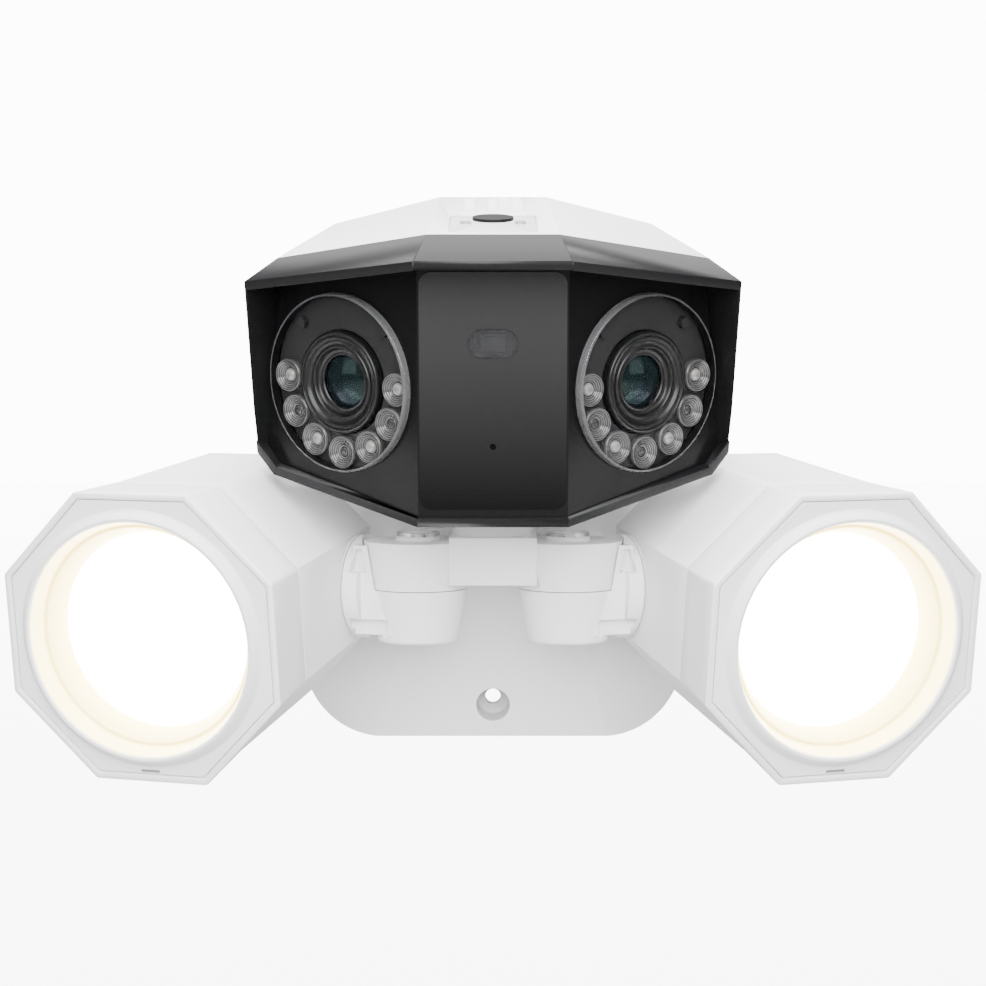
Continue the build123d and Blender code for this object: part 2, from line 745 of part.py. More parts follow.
def lens_glass(side, name):
    face = side_panel(side)
    with BuildPart() as piece:
        with BuildSketch(face.offset(-6)):
            Circle(LENS_R - SEAT)
        extrude(amount=3)
        with BuildSketch(face.offset(-3)):
            Circle(LENS_R - 0.6)
        with BuildSketch(face.offset(-1.6)):
            Circle(LENS_R - 4)
        loft()
    save(piece, f"lens_glass_{name}")


def ir_board(side, name):
    with BuildPart() as piece:
        with BuildSketch(side_panel(side).offset(-PANEL_THICK)):
            Circle(WINDOW_R - WINDOW_SKIN - SEAT)
            Circle(BARREL_R + FIT, mode=Mode.SUBTRACT)
            for angle in boss_angles(side):
                with PolarLocations(IR_RING_R + 2, 1, angle):
                    Circle(1.8 + FIT, mode=Mode.SUBTRACT)
        extrude(amount=0.8)
    save(piece, f"ir_board_{name}")


def ir_lenses(side, name):
    with BuildPart() as piece:
        with BuildSketch(side_panel(side).offset(-PANEL_THICK + 0.8)):
            sweep = IR_STEP * (IR_COUNT - 1)
            with PolarLocations(IR_RING_R, IR_COUNT, 180, sweep, endpoint=True):
                Circle(IR_CUP_R)
        extrude(amount=2.6)
    save(piece, f"ir_lenses_{name}")


def sensor_board(side, name):
    with BuildPart() as piece:
        with BuildSketch(side_panel(side).offset(-PANEL_THICK - CARRIER_THICK - 14)):
            RectangleRounded(34, 34, 2)
        extrude(amount=-1.6)
    save(piece, f"sensor_board_{name}")


# ======== arms ========
def arm_face():
    """Distance from the knuckle axis to the flat face of an arm's disc."""
    return LAMP_REACH - LAMP_BACK_HALF - LAMP_PAD - FIT - 0.9


def arm(side, name):
    base = arm_plane(side)
    face = arm_face()
    away = Plane(origin=base.origin, x_dir=base.z_dir, z_dir=base.x_dir * side)
    down = Plane(origin=base.origin, x_dir=(1, 0, 0), z_dir=(0, 0, -1))
    block = face - 3
    with BuildPart() as piece:
        with BuildSketch(down):
            Circle(KNUCKLE_R)
        with BuildSketch(down.offset(KNUCKLE_DOWN)):
            Circle(KNUCKLE_FOOT_R)
        loft()
        fillet(piece.faces().sort_by(Axis.Z)[0].edges(), 1.5)
        with BuildSketch(away.offset(face - DISC_THICK)):
            Circle(DISC_R)
        extrude(amount=DISC_THICK)
        fillet(piece.faces().sort_by(Axis(away.origin, away.z_dir))[-1].edges(), 1.0)
        with BuildSketch(away.offset(4)):
            Rectangle(2 * DISC_R - 8, 2 * DISC_R - 5)
        extrude(amount=block - 4)
        above = level(TILT_HEIGHT, side * KNUCKLE_X, -KNUCKLE_Y)
        with BuildSketch(above):
            Circle(KNUCKLE_R + FIT + 0.2)
        with BuildSketch(above.offset(KNUCKLE_UP + 5)):
            Circle(KNUCKLE_TOP_R + FIT + 0.8)
        loft(mode=Mode.SUBTRACT)
        front = base.offset(DISC_R - 4 - 2.2)
        with BuildSketch(front):
            with Locations((side * (face - 5.2), 10.2)):
                Polygon((-2.8, -3.9), (2.8, -3.9), (1.1, 3.9), (-1.1, 3.9))
            with Locations((side * (face - 8.9), -13.2)):
                Rectangle(14, 6.4)
        extrude(amount=6, mode=Mode.SUBTRACT)
        with BuildSketch(down):
            Circle(BOLT_R + RUNNING)
        extrude(amount=KNUCKLE_DOWN - 4, mode=Mode.SUBTRACT)
        with BuildSketch(away.offset(face - BOLT_BITE)):
            Circle(BOLT_R + RUNNING)
        extrude(amount=10, mode=Mode.SUBTRACT)
    save(piece, f"arm_{name}")


def knuckle_bolt(side, name):
    top = TILT_HEIGHT + KNUCKLE_UP + FIT
    with BuildPart() as piece:
        with BuildSketch(level(TILT_HEIGHT - KNUCKLE_DOWN + 5, side * KNUCKLE_X, -KNUCKLE_Y)):
            Circle(BOLT_R)
        extrude(amount=top - TILT_HEIGHT + KNUCKLE_DOWN - 5)
        with BuildSketch(level(top, side * KNUCKLE_X, -KNUCKLE_Y)):
            Circle(BOLT_HEAD_R)
        extrude(amount=BOLT_HEAD)
        with BuildSketch(level(top + BOLT_HEAD, side * KNUCKLE_X, -KNUCKLE_Y)):
            RegularPolygon(3, 6)
        extrude(amount=-1.6, mode=Mode.SUBTRACT)
    save(piece, f"knuckle_bolt_{name}")


def tilt_bolt(side, name):
    base = arm_plane(side)
    away = Plane(origin=base.origin, x_dir=base.z_dir, z_dir=base.x_dir * side)
    face = arm_face()
    inner = LAMP_REACH - LAMP_BACK_HALF + LAMP_WALL + 3
    with BuildPart() as piece:
        with BuildSketch(away.offset(face - BOLT_BITE)):
            Circle(BOLT_R)
        extrude(amount=inner + FIT - face + BOLT_BITE)
        with BuildSketch(away.offset(inner + FIT)):
            Circle(BOLT_HEAD_R)
        extrude(amount=BOLT_HEAD)
        with BuildSketch(away.offset(inner + FIT + BOLT_HEAD)):
            RegularPolygon(3, 6)
        extrude(amount=-1.6, mode=Mode.SUBTRACT)
    save(piece, f"tilt_bolt_{name}")


# ======== lamps ========
def octagon(half):
    """An octagon with a flat top; half is half its width across flats."""
    RegularPolygon(half / FLAT, 8, rotation=22.5)


def lamp_half(ahead):
    """Half width of the rear housing at a station ahead of the tilt axis."""
    run = (ahead + LAMP_BEHIND) / (LAMP_SPLIT + LAMP_BEHIND)
    return LAMP_BACK_HALF + (LAMP_SPLIT_HALF - LAMP_BACK_HALF) * run


def octagon_face(plane, half):
    """The same octagon as a loose face on a plane."""
    with BuildSketch(plane) as outline:
        octagon(half)
    return outline.sketch.faces()[0]


def octagon_taper(lamp, start, start_half, end, end_half, mode=Mode.ADD):
    """A tapering octagonal block between two stations."""
    ends = [octagon_face(lamp.offset(start), start_half), octagon_face(lamp.offset(end), end_half)]
    loft(ends, ruled=True, mode=mode)


def lamp_housing(side, name):
    lamp = lamp_plane(side)
    toward = Plane(origin=lamp.origin, x_dir=lamp.z_dir, z_dir=lamp.x_dir * -side)
    floor = LAMP_WALL - LAMP_BEHIND
    with BuildPart() as piece:
        octagon_taper(lamp, -LAMP_BEHIND, LAMP_BACK_HALF, LAMP_SPLIT, LAMP_SPLIT_HALF)
        chamfer(piece.faces().sort_by(Axis(lamp.origin, lamp.z_dir))[0].edges(), 1.5)
        inner = LAMP_SPLIT_HALF - LAMP_WALL
        octagon_taper(lamp, floor, lamp_half(floor) - LAMP_WALL, LAMP_SPLIT, inner, Mode.SUBTRACT)
        with BuildSketch(toward.offset(LAMP_BACK_HALF - 2)):
            Circle(DISC_R - 0.5)
        extrude(amount=2 + 0.9 + LAMP_PAD)
        with BuildSketch(toward.offset(LAMP_BACK_HALF - LAMP_WALL - 3)):
            Circle(BOLT_HEAD_R + 3)
        extrude(amount=LAMP_WALL + 3)
        with BuildSketch(toward.offset(LAMP_BACK_HALF - 10)):
            Circle(BOLT_R + RUNNING)
        extrude(amount=20, mode=Mode.SUBTRACT)
        with BuildSketch(lamp.offset(floor - 0.5)):
            with PolarLocations(34, 4, 45):
                Circle(4)
        extrude(amount=LAMP_SPLIT - SINK_THICK - floor + 0.5)
        with BuildSketch(lamp.offset(-LAMP_BEHIND)):
            with PolarLocations(34, 4, 45):
                Circle(1.7)
        extrude(amount=LAMP_SPLIT + LAMP_BEHIND, mode=Mode.SUBTRACT)
        with BuildSketch(lamp.offset(-LAMP_BEHIND)):
            with PolarLocations(34, 4, 45):
                Circle(3.2)
        extrude(amount=2.0, mode=Mode.SUBTRACT)
    save(piece, f"lamp_housing_{name}")


def lamp_screws(side, name):
    lamp = lamp_plane(side)
    with BuildPart() as piece:
        with BuildSketch(lamp.offset(2.0 - LAMP_BEHIND)):
            with PolarLocations(34, 4, 45):
                Circle(3.0)
        extrude(amount=-1.8)
        with BuildSketch(lamp.offset(2.0 - LAMP_BEHIND)):
            with PolarLocations(34, 4, 45):
                Circle(1.5)
        extrude(amount=LAMP_SPLIT - SINK_THICK + LAMP_BEHIND - 2.0)
    save(piece, f"lamp_screws_{name}")


def lamp_sink(side, name):
    lamp = lamp_plane(side)
    half = LAMP_SPLIT_HALF - LAMP_WALL - 0.6
    with BuildPart() as piece:
        with BuildSketch(lamp.offset(LAMP_SPLIT - SINK_THICK)):
            octagon(half)
        extrude(amount=SINK_THICK)
        with BuildSketch(lamp.offset(LAMP_SPLIT - SINK_THICK)):
            with GridLocations(6.5, 0, 7, 1):
                Rectangle(1.6, 40)
        extrude(amount=-16)
        with BuildSketch(lamp.offset(LAMP_SPLIT)):
            Circle(2)
        extrude(amount=-SINK_THICK, mode=Mode.SUBTRACT)
    save(piece, f"lamp_sink_{name}")


def lamp_gasket(side, name):
    lamp = lamp_plane(side)
    with BuildPart() as piece:
        with BuildSketch(lamp.offset(LAMP_SPLIT)):
            octagon(LAMP_SPLIT_HALF - 0.5)
            octagon_hole(LAMP_SPLIT_HALF - LAMP_WALL)
        extrude(amount=GASKET)
    save(piece, f"lamp_gasket_{name}")


def octagon_hole(half):
    RegularPolygon(half / FLAT, 8, rotation=22.5, mode=Mode.SUBTRACT)


def lamp_frame(side, name):
    lamp = lamp_plane(side)
    foot = LAMP_SPLIT + GASKET
    rim = LAMP_FRONT_HALF - LAMP_WALL
    with BuildPart() as piece:
        octagon_taper(lamp, foot, LAMP_SPLIT_HALF + 0.2, LAMP_AHEAD, LAMP_FRONT_HALF)
        tight = LAMP_SPLIT_HALF - LAMP_WALL
        octagon_taper(lamp, foot, tight, LAMP_AHEAD - 3, rim - 1.5, Mode.SUBTRACT)
        octagon_taper(lamp, LAMP_AHEAD - 3, rim, LAMP_AHEAD, rim, Mode.SUBTRACT)
    save(piece, f"lamp_frame_{name}")


def lamp_bezel(side, name):
    lamp = lamp_plane(side)
    section = Plane(origin=lamp.origin, x_dir=lamp.x_dir, z_dir=lamp.x_dir.cross(lamp.z_dir))
    plate = LAMP_AHEAD - 0.4
    throat = LAMP_AHEAD - DIFFUSER_DEPTH
    with BuildPart() as piece:
        with BuildSketch(lamp.offset(plate)):
            octagon(LAMP_FRONT_HALF - LAMP_WALL - 0.25)
            Circle(RING_R - 1, mode=Mode.SUBTRACT)
        extrude(amount=-2.6)
        with BuildSketch(section):
            with BuildLine():
                Polyline(
                    (RING_R, plate),
                    (RING_CREST_R + 1.2, plate + RING_CREST),
                    (RING_CREST_R, plate + RING_CREST),
                    (RING_CREST_R - 2, plate + 1),
                    (DIFFUSER_R - 0.6, throat),
                    (DIFFUSER_R - 0.6, throat - DIFFUSER_THICK - 2),
                    (DIFFUSER_R + 1.6, throat - DIFFUSER_THICK - 2),
                    (DIFFUSER_R + 1.6, throat - 1),
                    (RING_CREST_R - 0.4, plate - 2.6),
                    (RING_R, plate - 2.6),
                    close=True,
                )
            make_face()
        revolve(axis=Axis(lamp.origin, lamp.z_dir))
        with BuildSketch(lamp.offset(throat - DIFFUSER_THICK - 2)):
            Circle(DIFFUSER_R)
        extrude(amount=DIFFUSER_THICK + 2 - 0.6, mode=Mode.SUBTRACT)
    save(piece, f"lamp_bezel_{name}")


def lamp_diffuser(side, name):
    lamp = lamp_plane(side)
    back = LAMP_AHEAD - DIFFUSER_DEPTH - 0.6 - DIFFUSER_THICK
    with BuildPart() as piece:
        with BuildSketch(lamp.offset(back)):
            Circle(DIFFUSER_R - SEAT)
        extrude(amount=DIFFUSER_THICK)
    save(piece, f"lamp_diffuser_{name}")


def lamp_reflector(side, name):
    lamp = lamp_plane(side)
    back = LAMP_SPLIT + LED_THICK
    front = LAMP_AHEAD - DIFFUSER_DEPTH - 0.6 - DIFFUSER_THICK - SEAT
    with BuildPart() as piece:
        with BuildSketch(lamp.offset(back)):
            Circle(29)
        with BuildSketch(lamp.offset(front)):
            Circle(DIFFUSER_R - 0.4)
        loft()
        with BuildSketch(lamp.offset(back)):
            Circle(27.6)
        with BuildSketch(lamp.offset(front)):
            Circle(DIFFUSER_R - 1.8)
        loft(mode=Mode.SUBTRACT)
    save(piece, f"lamp_reflector_{name}")


def led_board(side, name):
    lamp = lamp_plane(side)
    with BuildPart() as piece:
        with BuildSketch(lamp.offset(LAMP_SPLIT)):
            Circle(32)
        extrude(amount=LED_THICK)
        with BuildSketch(lamp.offset(LAMP_SPLIT + LED_THICK)):
            with PolarLocations(20, 12):
                Rectangle(CHIP, CHIP)
            with PolarLocations(10, 6):
                Rectangle(CHIP, CHIP)
        extrude(amount=0.7)
    save(piece, f"led_board_{name}")


def build_all():
    os.makedirs("parts", exist_ok=True)
    base_housing()
    base_back_cover()
    cable_gland()
    power_board()
    terminal_block()
    neck()
    head_tilt_bolt()
    front_bezel()
    front_panel()
    centre_plate()
    sensor_window()
    light_sensor()
    microphone()
    rear_housing()
    main_board()
    service_cover()
    plug_disc()
    service_screws()
    speaker()
    head_bracket()
    makers = [lens_window, lens_carrier, lens_barrel, lens_glass, ir_board, ir_lenses, sensor_board]
    makers += [arm, knuckle_bolt, tilt_bolt]
    makers += [lamp_housing, lamp_screws, lamp_sink, lamp_gasket, lamp_frame, lamp_bezel]
    makers += [lamp_diffuser, lamp_reflector, led_board]
    for make in makers:
        for name, side in SIDES.items():
            make(side, name)


build_all()
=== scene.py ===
"""Looks of the floodlight security camera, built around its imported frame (metres, +Z up)."""
import json
import logging
import math
from dataclasses import dataclass, field, replace
from enum import Enum
from typing import Sequence

import bmesh
import bpy
from mathutils import Matrix, Vector


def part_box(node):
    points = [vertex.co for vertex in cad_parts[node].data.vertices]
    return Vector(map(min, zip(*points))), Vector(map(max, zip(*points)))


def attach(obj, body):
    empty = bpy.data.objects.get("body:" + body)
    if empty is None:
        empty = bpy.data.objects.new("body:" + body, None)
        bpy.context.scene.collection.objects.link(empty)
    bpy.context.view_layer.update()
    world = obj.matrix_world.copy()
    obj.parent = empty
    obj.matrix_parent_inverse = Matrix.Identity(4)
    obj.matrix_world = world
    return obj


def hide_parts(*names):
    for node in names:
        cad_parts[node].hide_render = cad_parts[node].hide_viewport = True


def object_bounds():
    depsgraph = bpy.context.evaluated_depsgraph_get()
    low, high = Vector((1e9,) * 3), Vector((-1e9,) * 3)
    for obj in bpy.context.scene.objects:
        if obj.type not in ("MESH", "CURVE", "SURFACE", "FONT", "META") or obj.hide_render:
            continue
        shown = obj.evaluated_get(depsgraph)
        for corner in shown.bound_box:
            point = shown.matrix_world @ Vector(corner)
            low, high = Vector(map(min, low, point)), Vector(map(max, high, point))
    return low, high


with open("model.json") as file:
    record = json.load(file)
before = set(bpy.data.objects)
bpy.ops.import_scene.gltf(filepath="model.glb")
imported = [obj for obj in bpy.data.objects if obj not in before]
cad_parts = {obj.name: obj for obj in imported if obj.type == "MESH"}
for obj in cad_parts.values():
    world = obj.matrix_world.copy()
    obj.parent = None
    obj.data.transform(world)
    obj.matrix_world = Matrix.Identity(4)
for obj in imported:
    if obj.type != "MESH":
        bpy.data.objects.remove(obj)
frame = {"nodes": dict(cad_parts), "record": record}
CAD_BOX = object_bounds()
LOG = logging.getLogger("floodlight_camera")
MM = 0.001
FINE_RELIEF = 0.2 * MM
CREASE_ANGLE = 24.0
FACET_ANGLE = 1.2
SAME_FACET_ANGLE = 0.2
BEVEL_ROOM = 2.2
Flat = tuple[float, float]
Point = tuple[float, float, float]
Colour = tuple[float, float, float]


class Side(Enum):
    """The two halves of the camera."""

    LEFT = "left"
    RIGHT = "right"

    @property
    def sign(self) -> int:
        """Return -1 on the left and 1 on the right."""
        return -1 if self is Side.LEFT else 1


# ---------------------------------------------------------------- shader groups
def new_group(
    name: str, inputs: dict[str, tuple[str, object]], outputs: dict[str, str]
) -> bpy.types.NodeTree:
    """Make an empty shader group.

    Args:
        name: name of the group.
        inputs: socket name to its type and default value.
        outputs: socket name to its type.

    Returns:
        The group, with its input and output nodes named "in" and "out".
    """
    group = bpy.data.node_groups.new(name, "ShaderNodeTree")
    for label, (kind, default) in inputs.items():
        socket = group.interface.new_socket(label, in_out="INPUT", socket_type=kind)
        socket.default_value = default
    for label, kind in outputs.items():
        group.interface.new_socket(label, in_out="OUTPUT", socket_type=kind)
    group.nodes.new("NodeGroupInput").name = "in"
    group.nodes.new("NodeGroupOutput").name = "out"
    return group


def moulded_grain_group() -> bpy.types.NodeTree:
    """Make fine moulded grain with a faint cloudy tone and dust that settles on upward faces.

    Returns:
        The group, which gives a colour, a roughness and a height.
    """
    group = new_group(
        "moulded_grain",
        {
            "Base": ("NodeSocketColor", (0.8, 0.8, 0.8, 1.0)),
            "Shade": ("NodeSocketColor", (0.7, 0.7, 0.7, 1.0)),
            "Dust": ("NodeSocketFloat", 0.1),
            "Grain Scale": ("NodeSocketFloat", 1800.0),
            "Rough Low": ("NodeSocketFloat", 0.35),
            "Rough High": ("NodeSocketFloat", 0.5),
        },
        {"Color": "NodeSocketColor", "Roughness": "NodeSocketFloat", "Height": "NodeSocketFloat"},
    )
    nodes, links = group.nodes, group.links
    source, sink = nodes["in"], nodes["out"]
    place = nodes.new("ShaderNodeTexCoord")
    grain = nodes.new("ShaderNodeTexNoise")
    grain.inputs["Detail"].default_value = 3.0
    cloud = nodes.new("ShaderNodeTexNoise")
    cloud.inputs["Scale"].default_value = 22.0
    cloud.inputs["Detail"].default_value = 5.0
    facing = nodes.new("ShaderNodeNewGeometry")
    split = nodes.new("ShaderNodeSeparateXYZ")
    up = nodes.new("ShaderNodeMapRange")
    up.inputs["From Min"].default_value = 0.5
    settled = nodes.new("ShaderNodeMath")
    settled.operation = "MULTIPLY"
    amount = nodes.new("ShaderNodeMath")
    amount.operation = "MULTIPLY"
    soil = nodes.new("ShaderNodeMath")
    soil.operation = "MULTIPLY_ADD"
    soil.inputs[1].default_value = 0.16
    tone = nodes.new("ShaderNodeMix")
    tone.data_type = "RGBA"
    rough = nodes.new("ShaderNodeMapRange")
    links.new(place.outputs["Object"], grain.inputs["Vector"])
    links.new(source.outputs["Grain Scale"], grain.inputs["Scale"])
    links.new(place.outputs["Object"], cloud.inputs["Vector"])
    links.new(facing.outputs["Normal"], split.inputs[0])
    links.new(split.outputs["Z"], up.inputs["Value"])
    links.new(up.outputs[0], settled.inputs[0])
    links.new(source.outputs["Dust"], settled.inputs[1])
    links.new(settled.outputs[0], amount.inputs[0])
    links.new(cloud.outputs["Fac"], amount.inputs[1])
    links.new(cloud.outputs["Fac"], soil.inputs[0])
    links.new(amount.outputs[0], soil.inputs[2])
    links.new(soil.outputs[0], tone.inputs["Factor"])
    links.new(source.outputs["Base"], tone.inputs[6])
    links.new(source.outputs["Shade"], tone.inputs[7])
    links.new(tone.outputs[2], sink.inputs["Color"])
    links.new(grain.outputs["Fac"], rough.inputs["Value"])
    links.new(source.outputs["Rough Low"], rough.inputs["To Min"])
    links.new(source.outputs["Rough High"], rough.inputs["To Max"])
    links.new(rough.outputs[0], sink.inputs["Roughness"])
    links.new(grain.outputs["Fac"], sink.inputs["Height"])
    return group


def ring_marks_group() -> bpy.types.NodeTree:
    """Make turned rings from the piece's own "turn" attribute, as on machined or moulded lens parts; on the
    infrared cups the light rings are painted highlights for the glints on their clear facets.

    Returns:
        The group, which gives a colour and a height.
    """
    group = new_group(
        "ring_marks",
        {"Rings": ("NodeSocketFloat", 14.0), "Light": ("NodeSocketColor", (0.1, 0.1, 0.1, 1.0)),
         "Dark": ("NodeSocketColor", (0.01, 0.01, 0.01, 1.0))},
        {"Color": "NodeSocketColor", "Height": "NodeSocketFloat"},
    )
    nodes, links = group.nodes, group.links
    source, sink = nodes["in"], nodes["out"]
    run = nodes.new("ShaderNodeAttribute")
    run.attribute_name = "turn"
    wave = nodes.new("ShaderNodeMath")
    wave.operation = "MULTIPLY"
    ripple = nodes.new("ShaderNodeMath")
    ripple.operation = "PINGPONG"
    ripple.inputs[1].default_value = 0.5
    mix = nodes.new("ShaderNodeMix")
    mix.data_type = "RGBA"
    links.new(run.outputs["Fac"], wave.inputs[0])
    links.new(source.outputs["Rings"], wave.inputs[1])
    links.new(wave.outputs[0], ripple.inputs[0])
    links.new(ripple.outputs[0], mix.inputs["Factor"])
    links.new(source.outputs["Dark"], mix.inputs[6])
    links.new(source.outputs["Light"], mix.inputs[7])
    links.new(mix.outputs[2], sink.inputs["Color"])
    links.new(ripple.outputs[0], sink.inputs["Height"])
    return group


def rgba(colour: Colour) -> tuple[float, float, float, float]:
    """Return the colour with full alpha."""
    return (*colour, 1.0)


def new_material(
    name: str,
) -> tuple[bpy.types.Material, bpy.types.Nodes, bpy.types.NodeLinks, bpy.types.ShaderNode]:
    """Make a plain node material.

    Args:
        name: name of the material.

    Returns:
        The material, its nodes, its links and its Principled shader.
    """
    material = bpy.data.materials.new(name)
    material.use_nodes = True
    nodes = material.node_tree.nodes
    return material, nodes, material.node_tree.links, nodes["Principled BSDF"]


@dataclass(frozen=True)
class Plastic:
    """A moulded plastic, metal or rubber with fine grain."""

    name: str
    base: Colour
    shade: Colour
    rough: tuple[float, float] = (0.35, 0.5)
    grain: float = 1800.0
    bump: float = 0.05
    dust: float = 0.15
    metallic: float = 0.0
    coat: float = 0.0
    specular: float = 0.5
    # Optional low and high Z of a painted sheen: the colour runs from the dark shade at the bottom to the
    # lighter base at the top.
    glow_and_sheen_fade: tuple[float, float] | None = None

    def make(self) -> bpy.types.Material:
        """Build the material on its first use.

        Returns:
            The material, which later uses share.
        """
        if self.name in bpy.data.materials:
            return bpy.data.materials[self.name]
        material, nodes, links, shader = new_material(self.name)
        grain = nodes.new("ShaderNodeGroup")
        grain.node_tree = bpy.data.node_groups["moulded_grain"]
        grain.inputs["Base"].default_value = rgba(self.base)
        grain.inputs["Shade"].default_value = rgba(self.shade)
        grain.inputs["Dust"].default_value = self.dust
        grain.inputs["Grain Scale"].default_value = self.grain
        grain.inputs["Rough Low"].default_value, grain.inputs["Rough High"].default_value = self.rough
        bump = nodes.new("ShaderNodeBump")
        bump.inputs["Strength"].default_value = self.bump
        bump.inputs["Distance"].default_value = FINE_RELIEF
        shader.inputs["Metallic"].default_value = self.metallic
        shader.inputs["Coat Weight"].default_value = self.coat
        shader.inputs["Coat Roughness"].default_value = 0.04
        shader.inputs["Specular IOR Level"].default_value = self.specular
        links.new(grain.outputs["Color"], shader.inputs["Base Color"])
        # Painted sheen: the colour darkens towards the bottom and lightens towards the top, standing in for
        # the reflection that lightens the top of the glossy plate.
        if self.glow_and_sheen_fade:
            place = nodes.new("ShaderNodeTexCoord")
            split = nodes.new("ShaderNodeSeparateXYZ")
            painted_sheen_rise = nodes.new("ShaderNodeMapRange")
            painted_sheen_rise.inputs["From Min"].default_value, painted_sheen_rise.inputs["From Max"].default_value = self.glow_and_sheen_fade
            tone = nodes.new("ShaderNodeMix")
            tone.data_type = "RGBA"
            tone.inputs[6].default_value = rgba(self.shade)
            links.new(place.outputs["Object"], split.inputs[0])
            links.new(split.outputs["Z"], painted_sheen_rise.inputs["Value"])
            links.new(painted_sheen_rise.outputs[0], tone.inputs["Factor"])
            links.new(grain.outputs["Color"], tone.inputs[7])
            links.new(tone.outputs[2], shader.inputs["Base Color"])
        links.new(grain.outputs["Roughness"], shader.inputs["Roughness"])
        links.new(grain.outputs["Height"], bump.inputs["Height"])
        links.new(bump.outputs["Normal"], shader.inputs["Normal"])
        return material


@dataclass(frozen=True)
class Turned:
    """A glossy lens part with rings round its axis."""

    name: str
    light: Colour
    dark: Colour
    rings: float = 12.0
    rough: float = 0.25
    bump: float = 0.4
    metallic: float = 0.0

    def make(self) -> bpy.types.Material:
        """Build the material on its first use.

        Returns:
            The material, which later uses share.
        """
        if self.name in bpy.data.materials:
            return bpy.data.materials[self.name]
        material, nodes, links, shader = new_material(self.name)
        marks = nodes.new("ShaderNodeGroup")
        marks.node_tree = bpy.data.node_groups["ring_marks"]
        marks.inputs["Rings"].default_value = self.rings
        marks.inputs["Light"].default_value = rgba(self.light)
        marks.inputs["Dark"].default_value = rgba(self.dark)
        bump = nodes.new("ShaderNodeBump")
        bump.inputs["Strength"].default_value = self.bump
        bump.inputs["Distance"].default_value = FINE_RELIEF
        shader.inputs["Roughness"].default_value = self.rough
        shader.inputs["Metallic"].default_value = self.metallic
        links.new(marks.outputs["Color"], shader.inputs["Base Color"])
        links.new(marks.outputs["Height"], bump.inputs["Height"])
        links.new(bump.outputs["Normal"], shader.inputs["Normal"])
        return material


@dataclass(frozen=True)
class Clear:
    """Clear glass or polycarbonate, thin enough to see through without bending the view."""

    name: str
    tint: Colour
    rough: float = 0.02
    alpha: float = 0.12
    ior: float = 1.5
    film: float = 0.0
    steep: float = 0.9

    def make(self) -> bpy.types.Material:
        """Build the material on its first use.

        Returns:
            The material, which later uses share.
        """
        if self.name in bpy.data.materials:
            return bpy.data.materials[self.name]
        material, nodes, links, shader = new_material(self.name)
        rim = nodes.new("ShaderNodeFresnel")
        rim.inputs["IOR"].default_value = self.ior
        veil = nodes.new("ShaderNodeMapRange")
        veil.inputs["To Min"].default_value = self.alpha
        veil.inputs["To Max"].default_value = self.steep
        film = nodes.new("ShaderNodeTexNoise")
        film.inputs["Scale"].default_value = 60.0
        haze = nodes.new("ShaderNodeMapRange")
        haze.inputs["To Min"].default_value = self.rough
        haze.inputs["To Max"].default_value = self.rough + 0.04
        shader.inputs["Base Color"].default_value = rgba(self.tint)
        shader.inputs["IOR"].default_value = self.ior
        shader.inputs["Thin Film Thickness"].default_value = self.film
        shader.inputs["Thin Film IOR"].default_value = 1.38
        links.new(rim.outputs[0], veil.inputs["Value"])
        links.new(veil.outputs[0], shader.inputs["Alpha"])
        links.new(film.outputs["Fac"], haze.inputs["Value"])
        links.new(haze.outputs[0], shader.inputs["Roughness"])
        return material


@dataclass(frozen=True)
class Glowing:
    """An opal plastic lit from behind, or a lamp-lit surface whose light is painted on as glow; the piece's
    "turn" attribute fades it from middle to edge.
    """

    name: str
    base: Colour
    middle: Colour
    edge: Colour
    power: float
    start: float = 0.0
    rough: float = 0.3

    def make(self) -> bpy.types.Material:
        """Build the material on its first use.

        Returns:
            The material, which later uses share.
        """
        if self.name in bpy.data.materials:
            return bpy.data.materials[self.name]
        material, nodes, links, shader = new_material(self.name)
        run = nodes.new("ShaderNodeAttribute")
        run.attribute_name = "turn"
        glow_and_sheen_fade = nodes.new("ShaderNodeMapRange")
        glow_and_sheen_fade.inputs["From Min"].default_value = self.start
        mix = nodes.new("ShaderNodeMix")
        mix.data_type = "RGBA"
        mix.inputs[6].default_value = rgba(self.middle)
        mix.inputs[7].default_value = rgba(self.edge)
        shader.inputs["Base Color"].default_value = rgba(self.base)
        shader.inputs["Roughness"].default_value = self.rough
        shader.inputs["Emission Strength"].default_value = self.power
        links.new(run.outputs["Fac"], glow_and_sheen_fade.inputs["Value"])
        links.new(glow_and_sheen_fade.outputs[0], mix.inputs["Factor"])
        links.new(mix.outputs[2], shader.inputs["Emission Color"])
        return material


Finish = Plastic | Turned | Clear | Glowing

WHITE = Plastic("white_moulding", (0.80, 0.80, 0.805), (0.74, 0.74, 0.745), (0.42, 0.55), 2200.0, 0.05, 0.1)
COVER = Plastic("service_cover_plastic", (0.60, 0.60, 0.62), (0.54, 0.54, 0.56), (0.3, 0.42))
GREY = Plastic("cover_plastic", (0.42, 0.42, 0.44), (0.36, 0.36, 0.38), (0.45, 0.6))
HOOD = Plastic("hood_plastic", (0.005, 0.005, 0.0055), (0.009, 0.009, 0.01), (0.34, 0.46), 2600.0, 0.08, 0.1,
               specular=0.24)
PANEL = Plastic("panel_plastic", (0.004, 0.004, 0.0043), (0.0055, 0.0055, 0.006), (0.2, 0.28), 900.0, 0.01,
                0.0, specular=0.12)
